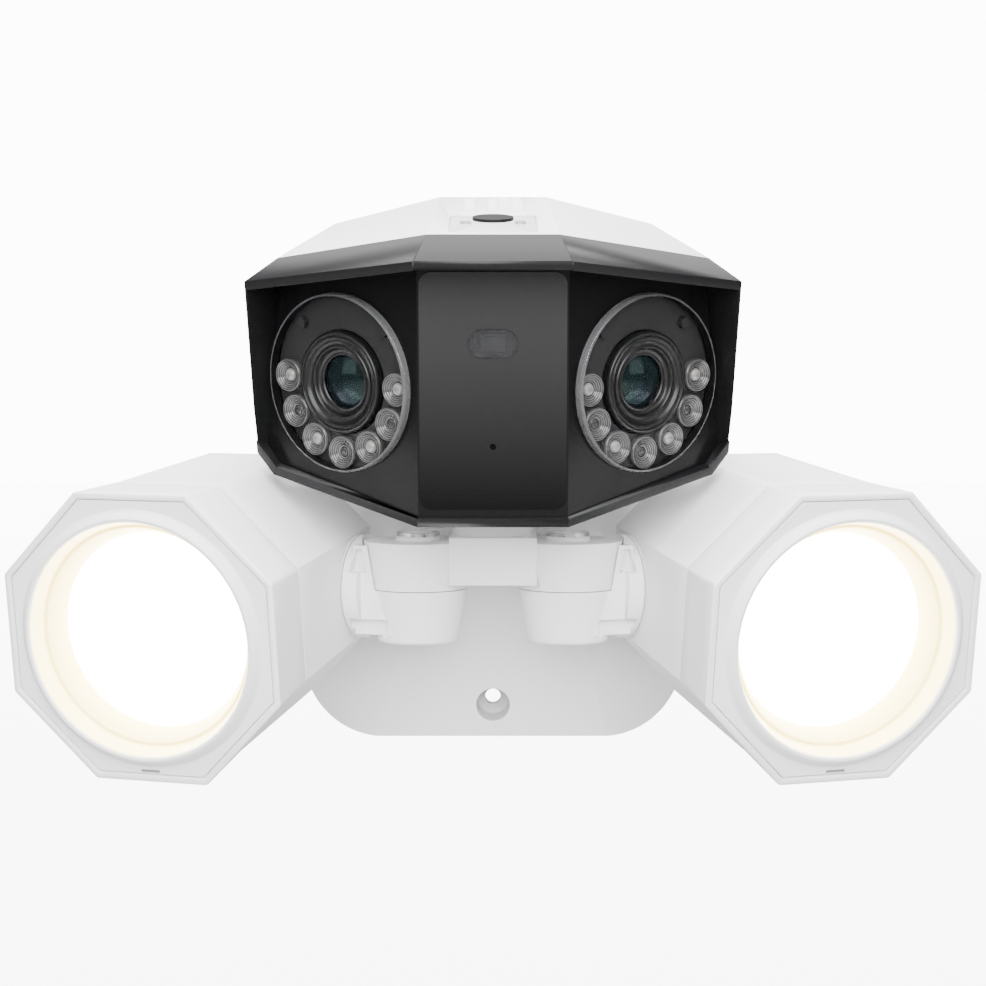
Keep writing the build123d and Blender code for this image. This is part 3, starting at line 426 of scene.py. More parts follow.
# The plate's lighter base is a painted sheen at its top, and its near-black shade is painted shade at its
# foot; the run between them is set in CameraHead.shells.
SHEEN_PAINTED_PLATE = Plastic("plate_gloss_painted_sheen", (0.036, 0.036, 0.037), (0.001, 0.001, 0.0011), (0.14, 0.2), 700.0, 0.008, 0.0,
                specular=0.1)
BLACK = Plastic("inner_black", (0.002, 0.002, 0.002), (0.004, 0.004, 0.004), (0.5, 0.65), 1500.0, 0.1, 0.0,
                specular=0.2)
CARRIER = Plastic("carrier_black", (0.022, 0.022, 0.0225), (0.03, 0.03, 0.0305), (0.3, 0.42), 900.0, 0.02,
                  0.0, specular=0.3)
SLOT = Plastic("slot_grey", (0.2, 0.2, 0.2), (0.15, 0.15, 0.15), (0.5, 0.6), 900.0, 0.05, 0.0)
STEEL = Plastic("plated_steel", (0.5, 0.5, 0.51), (0.38, 0.38, 0.4), (0.22, 0.36), 1200.0, 0.06, 0.1, 1.0)
ALLOY = Plastic("cast_alloy", (0.62, 0.62, 0.63), (0.5, 0.5, 0.51), (0.4, 0.55), 900.0, 0.2, 0.1, 1.0)
BOARD = Plastic("solder_mask", (0.02, 0.11, 0.05), (0.02, 0.07, 0.035), (0.3, 0.45), 500.0, 0.1, 0.0)
TERMINAL = Plastic("terminal_green", (0.06, 0.26, 0.12), (0.05, 0.2, 0.09), (0.4, 0.55))
RUBBER = Plastic("seal_rubber_grain", (0.03, 0.03, 0.031), (0.05, 0.05, 0.05), (0.65, 0.8), 1400.0, 0.15)
REFLECTOR = Plastic("reflector_white", (0.85, 0.85, 0.84), (0.8, 0.8, 0.79), (0.15, 0.25))
BARREL = Turned("lens_barrel_rings", (0.02, 0.02, 0.0205), (0.003, 0.003, 0.0032), 9.0, 0.3, 0.1)
# Painted highlights: the cups' light rings stand in for the glints on their clear facets.
PAINTED_GLINT_CUP = Turned("infrared_cup_painted_glints", (0.34, 0.335, 0.33), (0.03, 0.03, 0.03), 9.0, 0.12, 0.6, 0.3)
PIP = Turned("infrared_pip", (0.5, 0.49, 0.48), (0.22, 0.215, 0.21), 1.0, 0.08, 0.1, 0.2)
PIP_DARK = Turned("infrared_pip_dark", (0.12, 0.118, 0.115), (0.02, 0.02, 0.02), 3.0, 0.1, 0.2, 0.2)
COATED = Clear("coated_glass", (0.006, 0.012, 0.013), 0.05, 0.97, 1.42, 390.0, 1.0)
WINDOW = Clear("window_clear", (0.02, 0.02, 0.022), 0.02, 0.02, 1.45, 0.0, 0.5)
RIM = Clear("window_rim_clear", (0.3, 0.3, 0.31), 0.06, 0.25, 1.5, 0.0, 1.0)
PILL = Clear("sensor_tint", (0.02, 0.02, 0.022), 0.03, 0.6, 1.5)
OPAL = Glowing("opal_lit", (0.9, 0.9, 0.88), (1.0, 0.985, 0.95), (1.0, 0.96, 0.87), 22.0, 0.82)
# Painted light: the lamp's warm light on the cone round the diffuser is painted on as glow.
PAINTED_RING_GLOW = Glowing("ring_lit", (0.86, 0.76, 0.42), (1.0, 0.74, 0.16), (1.0, 0.72, 0.12), 2.6, 0.0, 0.35)


# ---------------------------------------------------------------- meshes and places
def link(name: str, mesh: bpy.types.Mesh, material: bpy.types.Material) -> bpy.types.Object:
    """Put a mesh into the scene with one material.

    Args:
        name: name of the piece.
        mesh: its mesh.
        material: its only material.

    Returns:
        The piece.
    """
    piece = bpy.data.objects.new(name, mesh)
    bpy.context.scene.collection.objects.link(piece)
    mesh.materials.clear()
    mesh.materials.append(material)
    return piece


def body_of_node(node: str) -> str:
    """Find the body that carries a CAD node.

    Args:
        node: the CAD node.

    Returns:
        The body's name.

    Raises:
        KeyError: no body carries the node.
    """
    for body, nodes in frame["record"]["behaviour"]["bodies"].items():
        if node in nodes:
            return body
    raise KeyError(node)


def settle(piece: bpy.types.Object, node: str, hides: bool = True) -> bpy.types.Object:
    """Give a piece the body of a CAD node.

    Args:
        piece: the new piece.
        node: the CAD node that it belongs to.
        hides: whether the piece stands for the node, which is then hidden.

    Returns:
        The same piece.
    """
    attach(piece, body_of_node(node))
    if hides:
        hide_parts(node)
    LOG.info("%s on %s", piece.name, node)
    return piece


def dress(node: str, finish: Finish) -> None:
    """Give a CAD node that is kept a better material.

    Args:
        node: the CAD node.
        finish: its new material.
    """
    shape = frame["nodes"][node]
    shape.data.materials.clear()
    shape.data.materials.append(finish.make())


def facet_areas(work: bmesh.types.BMesh) -> list[float]:
    """Measure the flat regions of a shape.

    Args:
        work: the shape.

    Returns:
        For each face, the area of the flat region that it belongs to, in square metres.
    """
    work.faces.ensure_lookup_table()
    areas = [0.0] * len(work.faces)
    bend = math.radians(SAME_FACET_ANGLE)
    seen: set[int] = set()
    for first in work.faces:
        if first.index in seen:
            continue
        seen.add(first.index)
        region, queue = [], [first]
        while queue:
            face = queue.pop()
            region.append(face)
            for edge in face.edges:
                for other in edge.link_faces:
                    if other.index not in seen and other.normal.angle(face.normal, 0.0) < bend:
                        seen.add(other.index)
                        queue.append(other)
        total = sum(face.calc_area() for face in region)
        for face in region:
            areas[face.index] = total
    return areas


def softened(node: str, finish: Plastic | Clear, edge: float = 0.5, flat: float = 40.0) -> bpy.types.Object:
    """Copy a CAD shape with its edges rounded and its curves smooth.

    An edge is rounded where it is long enough for the rounding, and left crisp elsewhere.

    Args:
        node: the CAD node to follow and replace.
        finish: its material.
        edge: radius of the rounded edges, in millimetres, or 0 for crisp edges.
        flat: a flat region over this many square millimetres is a facet, whose edges all show.

    Returns:
        The new piece.
    """
    work = bmesh.new()
    work.from_mesh(frame["nodes"][node].data)
    bmesh.ops.remove_doubles(work, verts=work.verts, dist=2e-6)
    areas = facet_areas(work)
    weight = work.edges.layers.float.new("bevel_weight_edge")
    for seam in work.edges:
        if len(seam.link_faces) != 2:
            continue
        angle = math.degrees(seam.calc_face_angle(0.0))
        facets = min(areas[face.index] for face in seam.link_faces) > flat * MM * MM
        if angle > CREASE_ANGLE or (facets and angle > FACET_ANGLE):
            wide = edge > 0 and seam.calc_length() > BEVEL_ROOM * edge * MM
            seam[weight] = 1.0 if wide else 0.0
            seam.smooth = wide
    mesh = bpy.data.meshes.new(f"{node}_soft")
    work.to_mesh(mesh)
    work.free()
    piece = link(f"{node}_soft", mesh, finish.make())
    for face in mesh.polygons:
        face.use_smooth = True
    if edge > 0:
        bevel = piece.modifiers.new("edges", "BEVEL")
        bevel.width = edge * MM
        bevel.segments = 3
        bevel.limit_method = "WEIGHT"
        bevel.harden_normals = True
        bevel.use_clamp_overlap = True
    return settle(piece, node)


def turned(
    name: str, profile: Sequence[Flat], place: Matrix, finish: Finish, around: int = 96
) -> bpy.types.Object:
    """Turn an open or closed outline round the Z axis of a place.

    Args:
        name: name of the piece.
        profile: radius and height pairs in millimetres, from first to last ring.
        place: where the turned shape's own axes lie.
        finish: its material.
        around: number of steps round the axis.

    Returns:
        The piece, with a "turn" attribute that runs from 0 to 1 along the outline.
    """
    work = bmesh.new()
    runs = [0.0]
    for (r0, z0), (r1, z1) in zip(profile, profile[1:]):
        runs.append(runs[-1] + math.hypot(r1 - r0, z1 - z0))
    total = runs[-1] or 1.0
    layer = work.verts.layers.float.new("turn")
    rings: list[list[bmesh.types.BMVert]] = []
    for (radius, height), run in zip(profile, runs):
        count = 1 if radius < 1e-6 else around
        ring = []
        for step in range(count):
            turn = 2 * math.pi * step / around
            spot = Vector((radius * math.cos(turn), radius * math.sin(turn), height)) * MM
            vert = work.verts.new(place @ spot)
            vert[layer] = run / total
            ring.append(vert)
        rings.append(ring)
    for first, second in zip(rings, rings[1:]):
        for step in range(around):
            after = (step + 1) % around
            corners = [first[step % len(first)], first[after % len(first)],
                       second[after % len(second)], second[step % len(second)]]
            unique = list(dict.fromkeys(corners))
            if len(unique) > 2:
                work.faces.new(unique)
    bmesh.ops.recalc_face_normals(work, faces=work.faces)
    mesh = bpy.data.meshes.new(name)
    work.to_mesh(mesh)
    work.free()
    mesh.shade_smooth()
    mesh.set_sharp_from_angle(angle=math.radians(35))
    return link(name, mesh, finish.make())


def rounded(points: Sequence[Flat], radius: float, steps: int = 4) -> list[Flat]:
    """Round the inner corners of an outline.

    Args:
        points: radius and height pairs.
        radius: how far from each corner the rounding starts.
        steps: points on each rounding.

    Returns:
        The outline with rounded corners.
    """
    out = [points[0]]
    for before, here, after in zip(points, points[1:], points[2:]):
        a, b, c = Vector(before), Vector(here), Vector(after)
        reach = min(radius, (a - b).length * 0.45, (c - b).length * 0.45)
        start = b + (a - b).normalized() * reach
        end = b + (c - b).normalized() * reach
        for step in range(steps + 1):
            t = step / steps
            spot = start * (1 - t) ** 2 + b * 2 * t * (1 - t) + end * t ** 2
            out.append((spot.x, spot.y))
    out.append(points[-1])
    return out


def flat_place(node: str) -> Matrix:
    """Find the axes of a flat or round CAD node, with Z along its thin direction, towards the front.

    Args:
        node: a CAD node much thinner than it is wide.

    Returns:
        The matrix from the node's own axes (origin at its middle, X across, Y up) to the frame.
    """
    mesh = frame["nodes"][node].data
    tally: dict[Point, float] = {}
    for face in mesh.polygons:
        key = tuple(round(v, 2) for v in face.normal)
        tally[key] = tally.get(key, 0.0) + face.area
    normal = Vector(max((k for k in tally if k[1] < 0), key=lambda k: tally[k])).normalized()
    exact = Vector((0.0, 0.0, 0.0))
    for face in mesh.polygons:
        if face.normal.dot(normal) > 0.999:
            exact += face.normal * face.area
    normal = exact.normalized()
    across = Vector((-normal.y, normal.x, 0.0)).normalized()
    upward = normal.cross(across)
    spans = []
    for axis in (across, upward, normal):
        values = [v.co.dot(axis) for v in mesh.vertices]
        spans.append((min(values), max(values)))
    middle = sum((axis * (lo + hi) / 2 for axis, (lo, hi) in zip((across, upward, normal), spans)), Vector())
    turn = Matrix((across, upward, normal)).transposed().to_4x4()
    return Matrix.Translation(middle) @ turn


def front_of(node: str, place: Matrix) -> float:
    """Measure how far a node reaches along a place's Z.

    Args:
        node: the CAD node.
        place: the axes to measure along.

    Returns:
        The distance, in millimetres.
    """
    back = place.inverted()
    return max((back @ v.co).z for v in frame["nodes"][node].data.vertices) / MM


def reach_of(node: str, place: Matrix) -> float:
    """Measure a node's largest radius round a place's Z.

    Args:
        node: the CAD node.
        place: the axes to measure round.

    Returns:
        The radius, in millimetres.
    """
    back = place.inverted()
    return max((back @ v.co).to_2d().length for v in frame["nodes"][node].data.vertices) / MM


def plate(
    name: str, outline: Sequence[Flat], place: Matrix, low: float, high: float, finish: Finish, edge: float
) -> bpy.types.Object:
    """Make a flat plate with rounded edges.

    Args:
        name: name of the piece.
        outline: corners across and up, in millimetres.
        place: where the plate's own axes lie.
        low: back of the plate along Z, in millimetres.
        high: front of the plate along Z, in millimetres.
        finish: its material.
        edge: radius of its edges, in millimetres.

    Returns:
        The piece.
    """
    work = bmesh.new()
    base = [work.verts.new(place @ (Vector((x, y, low)) * MM)) for x, y in outline]
    face = work.faces.new(base)
    lifted = bmesh.ops.extrude_face_region(work, geom=[face])["geom"]
    shift = place.to_3x3() @ Vector((0, 0, (high - low) * MM))
    bmesh.ops.translate(work, verts=[g for g in lifted if isinstance(g, bmesh.types.BMVert)], vec=shift)
    bmesh.ops.recalc_face_normals(work, faces=work.faces)
    mesh = bpy.data.meshes.new(name)
    work.to_mesh(mesh)
    work.free()
    mesh.shade_smooth()
    mesh.set_sharp_from_angle(angle=math.radians(40))
    piece = link(name, mesh, finish.make())
    bevel = piece.modifiers.new("edges", "BEVEL")
    bevel.width = edge * MM
    bevel.segments = 2
    bevel.limit_method = "ANGLE"
    bevel.angle_limit = math.radians(40)
    return piece


def round_rect(width: float, height: float, radius: float, steps: int = 8) -> list[Flat]:
    """Make the outline of a rounded rectangle round the origin.

    Args:
        width: its size across.
        height: its size up.
        radius: radius of its corners.
        steps: number of steps on each corner.

    Returns:
        The outline, in the unit of the sizes.
    """
    points = []
    for quarter in range(4):
        cx = (width / 2 - radius) * (1 if quarter in (0, 3) else -1)
        cy = (height / 2 - radius) * (1 if quarter in (0, 1) else -1)
        for step in range(steps + 1):
            turn = math.pi / 2 * (quarter + step / steps)
            points.append((cx + radius * math.cos(turn), cy + radius * math.sin(turn)))
    return points


# ---------------------------------------------------------------- the camera head
@dataclass
class EyeSizes:
    """Sizes of one window and the lens behind it, in millimetres."""

    edge_round: float = 0.9
    rim_width: float = 1.0
    barrel: float = 17.3
    barrel_front: float = 0.1
    barrel_steps: tuple[Flat, ...] = (
        (0.0, -3.0), (0.0, -0.9), (-0.3, -0.2), (-0.8, 0.0), (-1.3, 0.0), (-1.5, -0.5), (-1.8, -0.5),
        (-2.0, -0.1), (-2.9, -0.3), (-3.6, -1.2), (-4.6, -1.5), (-4.9, -1.1), (-5.6, -1.1), (-6.0, -1.7),
        (-6.5, -2.6), (-7.4, -3.0), (-8.1, -2.8), (-8.5, -3.3))
    glass: float = 8.9
    glass_front: float = -2.3
    glass_sweep: float = 52.0
    glass_depth: float = 0.62
    cup: float = 5.7
    cup_ring: float = 23.7
    cup_front: float = 0.3
    cup_count: int = 7
    cup_first: float = 174.9
    cup_step: float = 30.0
    lean: float = 1.1


@dataclass
class Eye:
    """One round clear window with its lens and infrared cups.

    Heights run along the window's axis from the middle of the window's own depth.
    """

    side: Side
    sizes: EyeSizes = field(default_factory=EyeSizes)

    def node(self, name: str) -> str:
        """Return a node name on this side."""
        return f"{name}_{self.side.value}"

    def window(self) -> None:
        """Add the clear window with its rounded edge and bright side wall."""
        node = self.node("lens_window")
        place = flat_place(node)
        front, radius = front_of(node, place), reach_of(node, place)
        soft = self.sizes.edge_round
        face = [(0.0, front), (radius - 2.2 * soft, front), (radius - soft, front - 0.1)]
        settle(turned(f"window_{self.side.value}", face, place, WINDOW, 128), node)
        wall = [(radius - soft, front - 0.1), (radius - 0.35 * soft, front - 0.3 * soft),
                (radius, front - soft), (radius, front - 3.2)]
        rim = turned(f"window_rim_{self.side.value}", rounded(wall, 0.3, 3), place, RIM, 160)
        settle(rim, node, hides=False)
        inner = [(radius - self.sizes.rim_width, front - 0.2), (radius - self.sizes.rim_width, front - 3.4)]
        settle(turned(f"window_wall_{self.side.value}", inner, place, BLACK, 128), node, hides=False)

    def lens_place(self) -> Matrix:
        """Return the axes of the lens, leaning a little towards the middle of the head."""
        shift = Vector((self.side.sign * self.sizes.lean, -0.1, 0.0)) * MM
        return flat_place(self.node("lens_window")) @ Matrix.Translation(shift)

    def barrel(self) -> None:
        """Add the stepped lens barrel with its fine rings."""
        r, top = self.sizes.barrel, self.sizes.barrel_front
        outline = [(r + step, top + drop) for step, drop in self.sizes.barrel_steps]
        piece = turned(f"barrel_{self.side.value}", rounded(outline, 0.22, 3), self.lens_place(), BARREL, 128)
        settle(piece, self.node("lens_barrel"))

    def glass(self) -> None:
        """Add the coated front element as a steep dark dome."""
        radius, top = self.sizes.glass, self.sizes.glass_front
        sweep, steps = math.radians(self.sizes.glass_sweep), 16
        dome = []
        for step in range(steps + 1):
            turn = sweep * step / steps
            drop = radius * self.sizes.glass_depth * (1 - math.cos(turn))
            dome.append((radius * math.sin(turn) / math.sin(sweep), top - drop))
        place = self.lens_place()
        settle(turned(f"coated_glass_{self.side.value}", dome, place, COATED, 96), self.node("lens_glass"))

    def build(self) -> None:
        """Build every piece of the eye."""
        self.window()
        self.barrel()
        self.glass()
        dress(self.node("lens_carrier"), CARRIER)
        dress(self.node("ir_board"), CARRIER)
        dress(self.node("sensor_board"), BOARD)
        self.cups()

    def cups(self) -> None:
        """Add the faceted cup and lens over each infrared diode."""
        node = self.node("ir_lenses")
        place = flat_place(self.node("lens_window"))
        r, top = self.sizes.cup, self.sizes.cup_front
        for index in range(self.sizes.cup_count):
            turn = math.radians(self.sizes.cup_first + self.sizes.cup_step * index)
            if self.side is Side.RIGHT:
                turn = math.pi - turn
            spot = Vector((math.cos(turn), math.sin(turn), 0.0)) * self.sizes.cup_ring
            axis = place @ Matrix.Translation(Vector((spot.x, spot.y, top)) * MM)
            shell = [(0.3 * r, -1.9), (0.42 * r, -1.75), (0.5 * r, -1.3), (0.66 * r, -0.9), (0.82 * r, -0.3),
                     (0.92 * r, 0.0), (0.99 * r, -0.25), (r, -0.8), (0.97 * r, -2.4)]
            # Each cup's light rings are painted highlights for the glints on its clear facets.
            cup = turned(f"infrared_cup_{self.side.value}_{index}", rounded(shell, 0.2, 3), axis, PAINTED_GLINT_CUP, 48)
            settle(cup, node, hides=index == 0)
            high, finish = (-0.55, PIP) if index % 2 == 0 else (-1.35, PIP_DARK)
            pip = [(0.0, high), (0.14 * r, high - 0.05), (0.3 * r, high - 0.35), (0.37 * r, high - 0.9),
                   (0.4 * r, -2.2)]
            eye = turned(f"infrared_pip_{self.side.value}_{index}", rounded(pip, 0.2, 3), axis, finish, 32)
            settle(eye, node, hides=False)


@dataclass
class HeadSizes:
    """Edge roundings of the camera head, in millimetres."""

    hood: float = 0.6
    rear: float = 0.9
    cover: float = 0.35
    plug: float = 0.25
    bracket: float = 0.3
    neck: float = 0.6


@dataclass
class CameraHead:
    """The hooded twin-lens head on its neck."""

    sizes: HeadSizes = field(default_factory=HeadSizes)

    def shells(self) -> None:
        """Add the hood, the front panel and the white rear housing with softened edges."""
        softened("front_bezel", HOOD, self.sizes.hood)
        softened("front_panel", PANEL, 0.0)
        softened("rear_housing", WHITE, self.sizes.rear)
        softened("service_cover", COVER, self.sizes.cover)
        # The centre plate gets a painted sheen that lightens its top and leaves its foot near black.
        low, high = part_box("centre_plate")
        softened("centre_plate", replace(SHEEN_PAINTED_PLATE, glow_and_sheen_fade=(low.z, high.z)), 0.0)
        softened("plug_disc", BLACK, self.sizes.plug)

    def small_parts(self) -> None:
        """Give the sensor window, microphone, screws and inner parts their finishes."""
        softened("sensor_window", PILL, 0.0)
        dress("light_sensor", SLOT)
        dress("microphone", BLACK)
        dress("service_screws", STEEL)
        dress("bracket_screws", STEEL)
        dress("main_board", BOARD)
        dress("speaker", BLACK)
        softened("head_bracket", ALLOY, self.sizes.bracket)
        softened("neck", WHITE, self.sizes.neck)
        dress("head_tilt_bolt", STEEL)

    def build(self) -> None:
        """Build the whole head."""
        self.shells()
        self.small_parts()
        for side in Side:
            Eye(side).build()


# ---------------------------------------------------------------- the lamps
@dataclass
class LampSizes:
    """Sizes of a lamp, in millimetres, with its front's heights from the flat of its octagonal plate."""

    housing_edge: float = 0.8
    arm_edge: float = 0.6
    arm_facet: float = 60.0
    opal_crown: float = 0.8
    ring: tuple[Flat, ...] = (
        (43.7, 0.0), (43.3, 0.35), (42.5, 1.6), (41.7, 2.55), (40.9, 2.95), (40.1, 2.8), (39.6, 2.2))
    cone: tuple[Flat, ...] = (
        (39.6, 2.2), (37.7, -3.4), (37.5, -4.0), (37.1, -4.2), (36.7, -3.9), (36.4, -4.2))
    cone_foot: float = 33.3
    slot_width: float = 7.0
    slot_height: float = 0.9
    slot_inset: float = 1.1
    plate_steps: int = 96


@dataclass
class Lamp:
    """One octagonal floodlight with its arm."""

    side: Side
    sizes: LampSizes = field(default_factory=LampSizes)

    def node(self, name: str) -> str:
        """Return a node name on this side."""
        return f"{name}_{self.side.value}"

    def build(self) -> None:
        """Build the lamp and its arm."""
        softened(self.node("lamp_housing"), WHITE, self.sizes.housing_edge)
        softened(self.node("lamp_frame"), WHITE, self.sizes.housing_edge)
        softened(self.node("arm"), WHITE, self.sizes.arm_edge, self.sizes.arm_facet)
        self.front()
        self.diffuser()
        self.bolt_cap()
        dress(self.node("lamp_screws"), STEEL)
        dress(self.node("lamp_sink"), ALLOY)
        dress(self.node("lamp_gasket"), RUBBER)
        dress(self.node("lamp_reflector"), REFLECTOR)
        dress(self.node("led_board"), BOARD)
        dress(self.node("tilt_bolt"), STEEL)

    def bolt_cap(self) -> None:
        """Add the white cap over the knuckle's bolt, and keep the bolt itself under it."""
        node = self.node("knuckle_bolt")
        dress(node, STEEL)
        low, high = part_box(node)
        middle = (low + high) / 2
        place = Matrix.Translation(Vector((middle.x, middle.y, high.z)))
        r = (high.x - low.x) / 2 / MM
        cap = [(0.0, 0.3), (r * 0.55, 0.3), (r * 0.72, 0.0), (r * 0.8, -0.8), (r + 0.25, -1.4),
               (r + 0.3, -3.6)]
        piece = turned(f"bolt_cap_{self.side.value}", rounded(cap, 0.4), place, WHITE, 64)
        settle(piece, node, hides=False)

    def front(self) -> None:
        """Add the octagonal plate with its raised ring, the lit cone inside it, and the slot at its foot."""
        place = flat_place(self.node("lamp_bezel"))
        back = place.inverted()
        local = [(back @ v.co) / MM for v in frame["nodes"][self.node("lamp_bezel")].data.vertices]
        half = max(v.x for v in local)
        flat = max(v.z for v in local if max(abs(v.x), abs(v.y)) > half - 1.0)
        self.front_plate(place, half, flat)
        axis = place @ Matrix.Translation(Vector((0, 0, flat * MM)))
        self.lit_cone(axis)
        self.slot(axis, half)

    def front_plate(self, place: Matrix, half: float, flat: float) -> None:
        """Add the octagonal plate, which runs on into the raised ring.

        Args:
            place: the axes of the CAD bezel.
            half: distance from the middle to a side of the octagon, in millimetres.
            flat: height of the plate's flat front, in millimetres.
        """
        around = self.sizes.plate_steps
        turns = [2 * math.pi * step / around for step in range(around)]
        leans = [(turn + math.pi / 8) % (math.pi / 4) - math.pi / 8 for turn in turns]
        rows = []
        for width, height in ((half, flat - 2.0), (half, flat - 0.3), (half - 0.3, flat)):
            reaches = [width / math.cos(lean) for lean in leans]
            rows.append([(r * math.cos(turn), r * math.sin(turn), height) for r, turn in zip(reaches, turns)])
        for width, height in self.sizes.ring:
            rows.append([(width * math.cos(turn), width * math.sin(turn), flat + height) for turn in turns])
        work = bmesh.new()
        grid = [[work.verts.new(place @ (Vector(spot) * MM)) for spot in row] for row in rows]
        for first, second in zip(grid, grid[1:]):
            for step in range(around):
                after = (step + 1) % around
                work.faces.new((first[step], first[after], second[after], second[step]))
        bmesh.ops.recalc_face_normals(work, faces=work.faces)
        name = f"lamp_plate_{self.side.value}"
        mesh = bpy.data.meshes.new(name)
        work.to_mesh(mesh)
        work.free()
        mesh.shade_smooth()
        mesh.set_sharp_from_angle(angle=math.radians(30))
        settle(link(name, mesh, WHITE.make()), self.node("lamp_bezel"))

    def lit_cone(self, axis: Matrix) -> None:
        """Add the warm cone from the ring down to the diffuser, with the lamp's light on it painted on as
        glow.

        Args:
            axis: the lamp's axes, from the flat of its plate.
        """
        foot = (self.sizes.cone_foot, front_of(self.node("lamp_diffuser"), axis) - self.sizes.opal_crown)
        # The cone's glow is painted light from the lamp, not a lamp of its own.
        cone = turned(f"lamp_cone_{self.side.value}", (*self.sizes.cone, foot), axis, PAINTED_RING_GLOW, 128)
        settle(cone, self.node("lamp_bezel"), hides=False)

    def slot(self, axis: Matrix, half: float) -> None:
        """Add the small slot at the foot of the plate.

        Args:
            axis: the lamp's axes, from the flat of its plate.
            half: distance from the middle to a side of the octagon, in millimetres.
        """
        width, height = self.sizes.slot_width, self.sizes.slot_height
        down = axis @ Matrix.Translation(Vector((0, -(half - self.sizes.slot_inset) * MM, 0)))
        outline = round_rect(width, height, height / 2 * 0.9)
        slot = plate(f"lamp_slot_{self.side.value}", outline, down, 0.0, 0.12, SLOT, 0.02)
        settle(slot, self.node("lamp_bezel"), hides=False)

    def diffuser(self) -> None:
        """Add the crowned opal plastic that glows."""
        node = self.node("lamp_diffuser")
        place = flat_place(node)
        front, radius = front_of(node, place), reach_of(node, place)
        crown = self.sizes.opal_crown
        steps = 12
        outline = [(radius * s / steps, front - crown * (s / steps) ** 2) for s in range(steps + 1)]
        outline += [(radius, front - crown - 1.0)]
        piece = turned(f"opal_{self.side.value}", outline, place, OPAL, 128)
        settle(piece, node)


# ---------------------------------------------------------------- the base
@dataclass
class BaseSizes:
    """Edge roundings of the wall base, in millimetres."""

    housing: float = 0.8
    cover: float = 0.3


@dataclass
class Base:
    """The wall base with its back cover and inner parts."""

    sizes: BaseSizes = field(default_factory=BaseSizes)

    def build(self) -> None:
        """Build the base."""
        softened("base_housing", WHITE, self.sizes.housing)
        softened("base_back_cover", GREY, self.sizes.cover)
        dress("cable_gland", RUBBER)
        dress("power_board", BOARD)
        dress("terminal_block", TERMINAL)


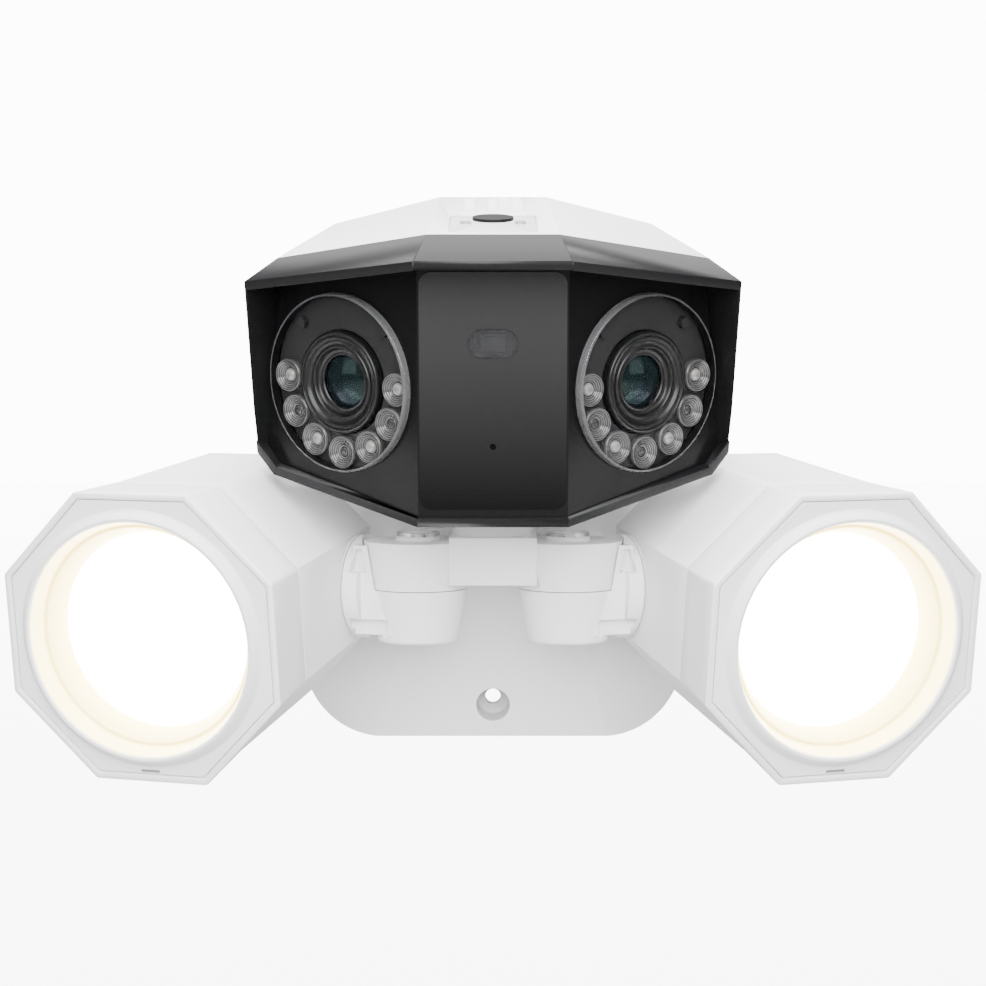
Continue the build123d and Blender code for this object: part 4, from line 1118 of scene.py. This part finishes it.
# ---------------------------------------------------------------- studio
@dataclass
class Studio:
    """A plain pale room with soft light and the scene's camera, in metres, watts and degrees."""

    floor_drop: float = 0.3
    floor_half: float = 6.0
    side: float = 5.0
    top: float = 100.0
    front: float = 150.0
    behind: float = 14.0
    camera_spot: Point = (0.0, -0.9363, 0.0835)
    camera_down: float = 4.0
    lens: float = 91.3

    def floor(self) -> None:
        """Add a pale floor under the object that melts into the backdrop far away."""
        mesh = bpy.data.meshes.new("floor")
        size, low = self.floor_half, CAD_BOX[0].z - self.floor_drop
        corners = [(-size, -size, low), (size, -size, low), (size, size, low), (-size, size, low)]
        mesh.from_pydata(corners, [], [(0, 1, 2, 3)])
        pale = (0.35, 0.35, 0.35)
        material = Plastic("floor_pale", pale, pale, (0.8, 0.9), 40.0, 0.0, 0.0, specular=0.1).make()
        nodes, links = material.node_tree.nodes, material.node_tree.links
        place = nodes.new("ShaderNodeTexCoord")
        reach = nodes.new("ShaderNodeVectorMath")
        reach.operation = "LENGTH"
        far = nodes.new("ShaderNodeMapRange")
        far.inputs["From Min"].default_value = 0.2
        far.inputs["From Max"].default_value = 4.5
        far.inputs["To Min"].default_value = 7.0
        far.inputs["To Max"].default_value = 11.5
        seen = nodes.new("ShaderNodeLightPath")
        glow = nodes.new("ShaderNodeMath")
        glow.operation = "MULTIPLY"
        shader = nodes["Principled BSDF"]
        shader.inputs["Emission Color"].default_value = (1.0, 1.0, 1.0, 1.0)
        links.new(place.outputs["Object"], reach.inputs[0])
        links.new(reach.outputs["Value"], far.inputs["Value"])
        links.new(far.outputs[0], glow.inputs[0])
        links.new(seen.outputs["Is Camera Ray"], glow.inputs[1])
        links.new(glow.outputs[0], shader.inputs["Emission Strength"])
        link("floor", mesh, material)

    def light(self, name: str, spot: Point, aim: Point, size: float, power: float, colour: Colour) -> None:
        """Add one soft light.

        Args:
            name: name of the light.
            spot: where it stands.
            aim: what it points at.
            size: width of the panel.
            power: its power.
            colour: its colour.
        """
        data = bpy.data.lights.new(name, "AREA")
        data.shape, data.size, data.energy, data.color = "SQUARE", size, power, colour
        lamp = bpy.data.objects.new(name, data)
        lamp.location = spot
        lamp.rotation_euler = (Vector(aim) - Vector(spot)).to_track_quat("-Z", "Y").to_euler()
        bpy.context.scene.collection.objects.link(lamp)

    def world(self) -> None:
        """Set soft even light, with a bright plain backdrop that only the camera sees."""
        world = bpy.data.worlds.new("studio")
        world.use_nodes = True
        nodes, links = world.node_tree.nodes, world.node_tree.links
        ground = nodes["Background"]
        ground.inputs["Color"].default_value = (1.0, 1.0, 1.0, 1.0)
        ground.inputs["Strength"].default_value = 0.15
        backdrop = nodes.new("ShaderNodeBackground")
        backdrop.inputs["Color"].default_value = (1.0, 1.0, 1.0, 1.0)
        backdrop.inputs["Strength"].default_value = 13.0
        seen = nodes.new("ShaderNodeLightPath")
        choose = nodes.new("ShaderNodeMixShader")
        links.new(seen.outputs["Is Camera Ray"], choose.inputs[0])
        links.new(ground.outputs[0], choose.inputs[1])
        links.new(backdrop.outputs[0], choose.inputs[2])
        links.new(choose.outputs[0], nodes["World Output"].inputs["Surface"])
        bpy.context.scene.world = world

    def camera(self) -> None:
        """Set the scene's camera in front of the object, a little above it."""
        data = bpy.data.cameras.new("camera")
        data.lens, data.sensor_width, data.dof.use_dof = self.lens, 36.0, False
        data.clip_start = 0.01
        camera = bpy.data.objects.new("camera", data)
        camera.location = self.camera_spot
        camera.rotation_euler = (math.radians(90.0 - self.camera_down), 0.0, 0.0)
        bpy.context.scene.collection.objects.link(camera)
        bpy.context.scene.camera = camera

    def build(self) -> None:
        """Build the studio."""
        self.floor()
        self.world()
        centre = (0.0, -0.1, 0.03)
        self.light("left", (-1.5, -0.8, 0.55), centre, 1.0, self.side, (1.0, 1.0, 1.0))
        self.light("right", (1.5, -0.8, 0.55), centre, 1.0, self.side, (1.0, 1.0, 1.0))
        self.light("top", (0.0, -0.25, 1.5), centre, 1.1, self.top, (1.0, 1.0, 1.0))
        self.light("behind", (0.0, 1.3, 1.1), centre, 1.4, self.behind, (1.0, 1.0, 1.0))
        self.light("front", (0.0, -1.9, 1.0), centre, 1.8, self.front, (1.0, 1.0, 1.0))
        self.camera()


def main() -> None:
    """Build the looks of the whole camera and its studio."""
    logging.basicConfig(level=logging.INFO, format="%(name)s: %(message)s")
    moulded_grain_group()
    ring_marks_group()
    Base().build()
    for side in Side:
        Lamp(side).build()
    CameraHead().build()
    Studio().build()
    bpy.context.view_layer.update()


if __name__ == "__main__":
    main()
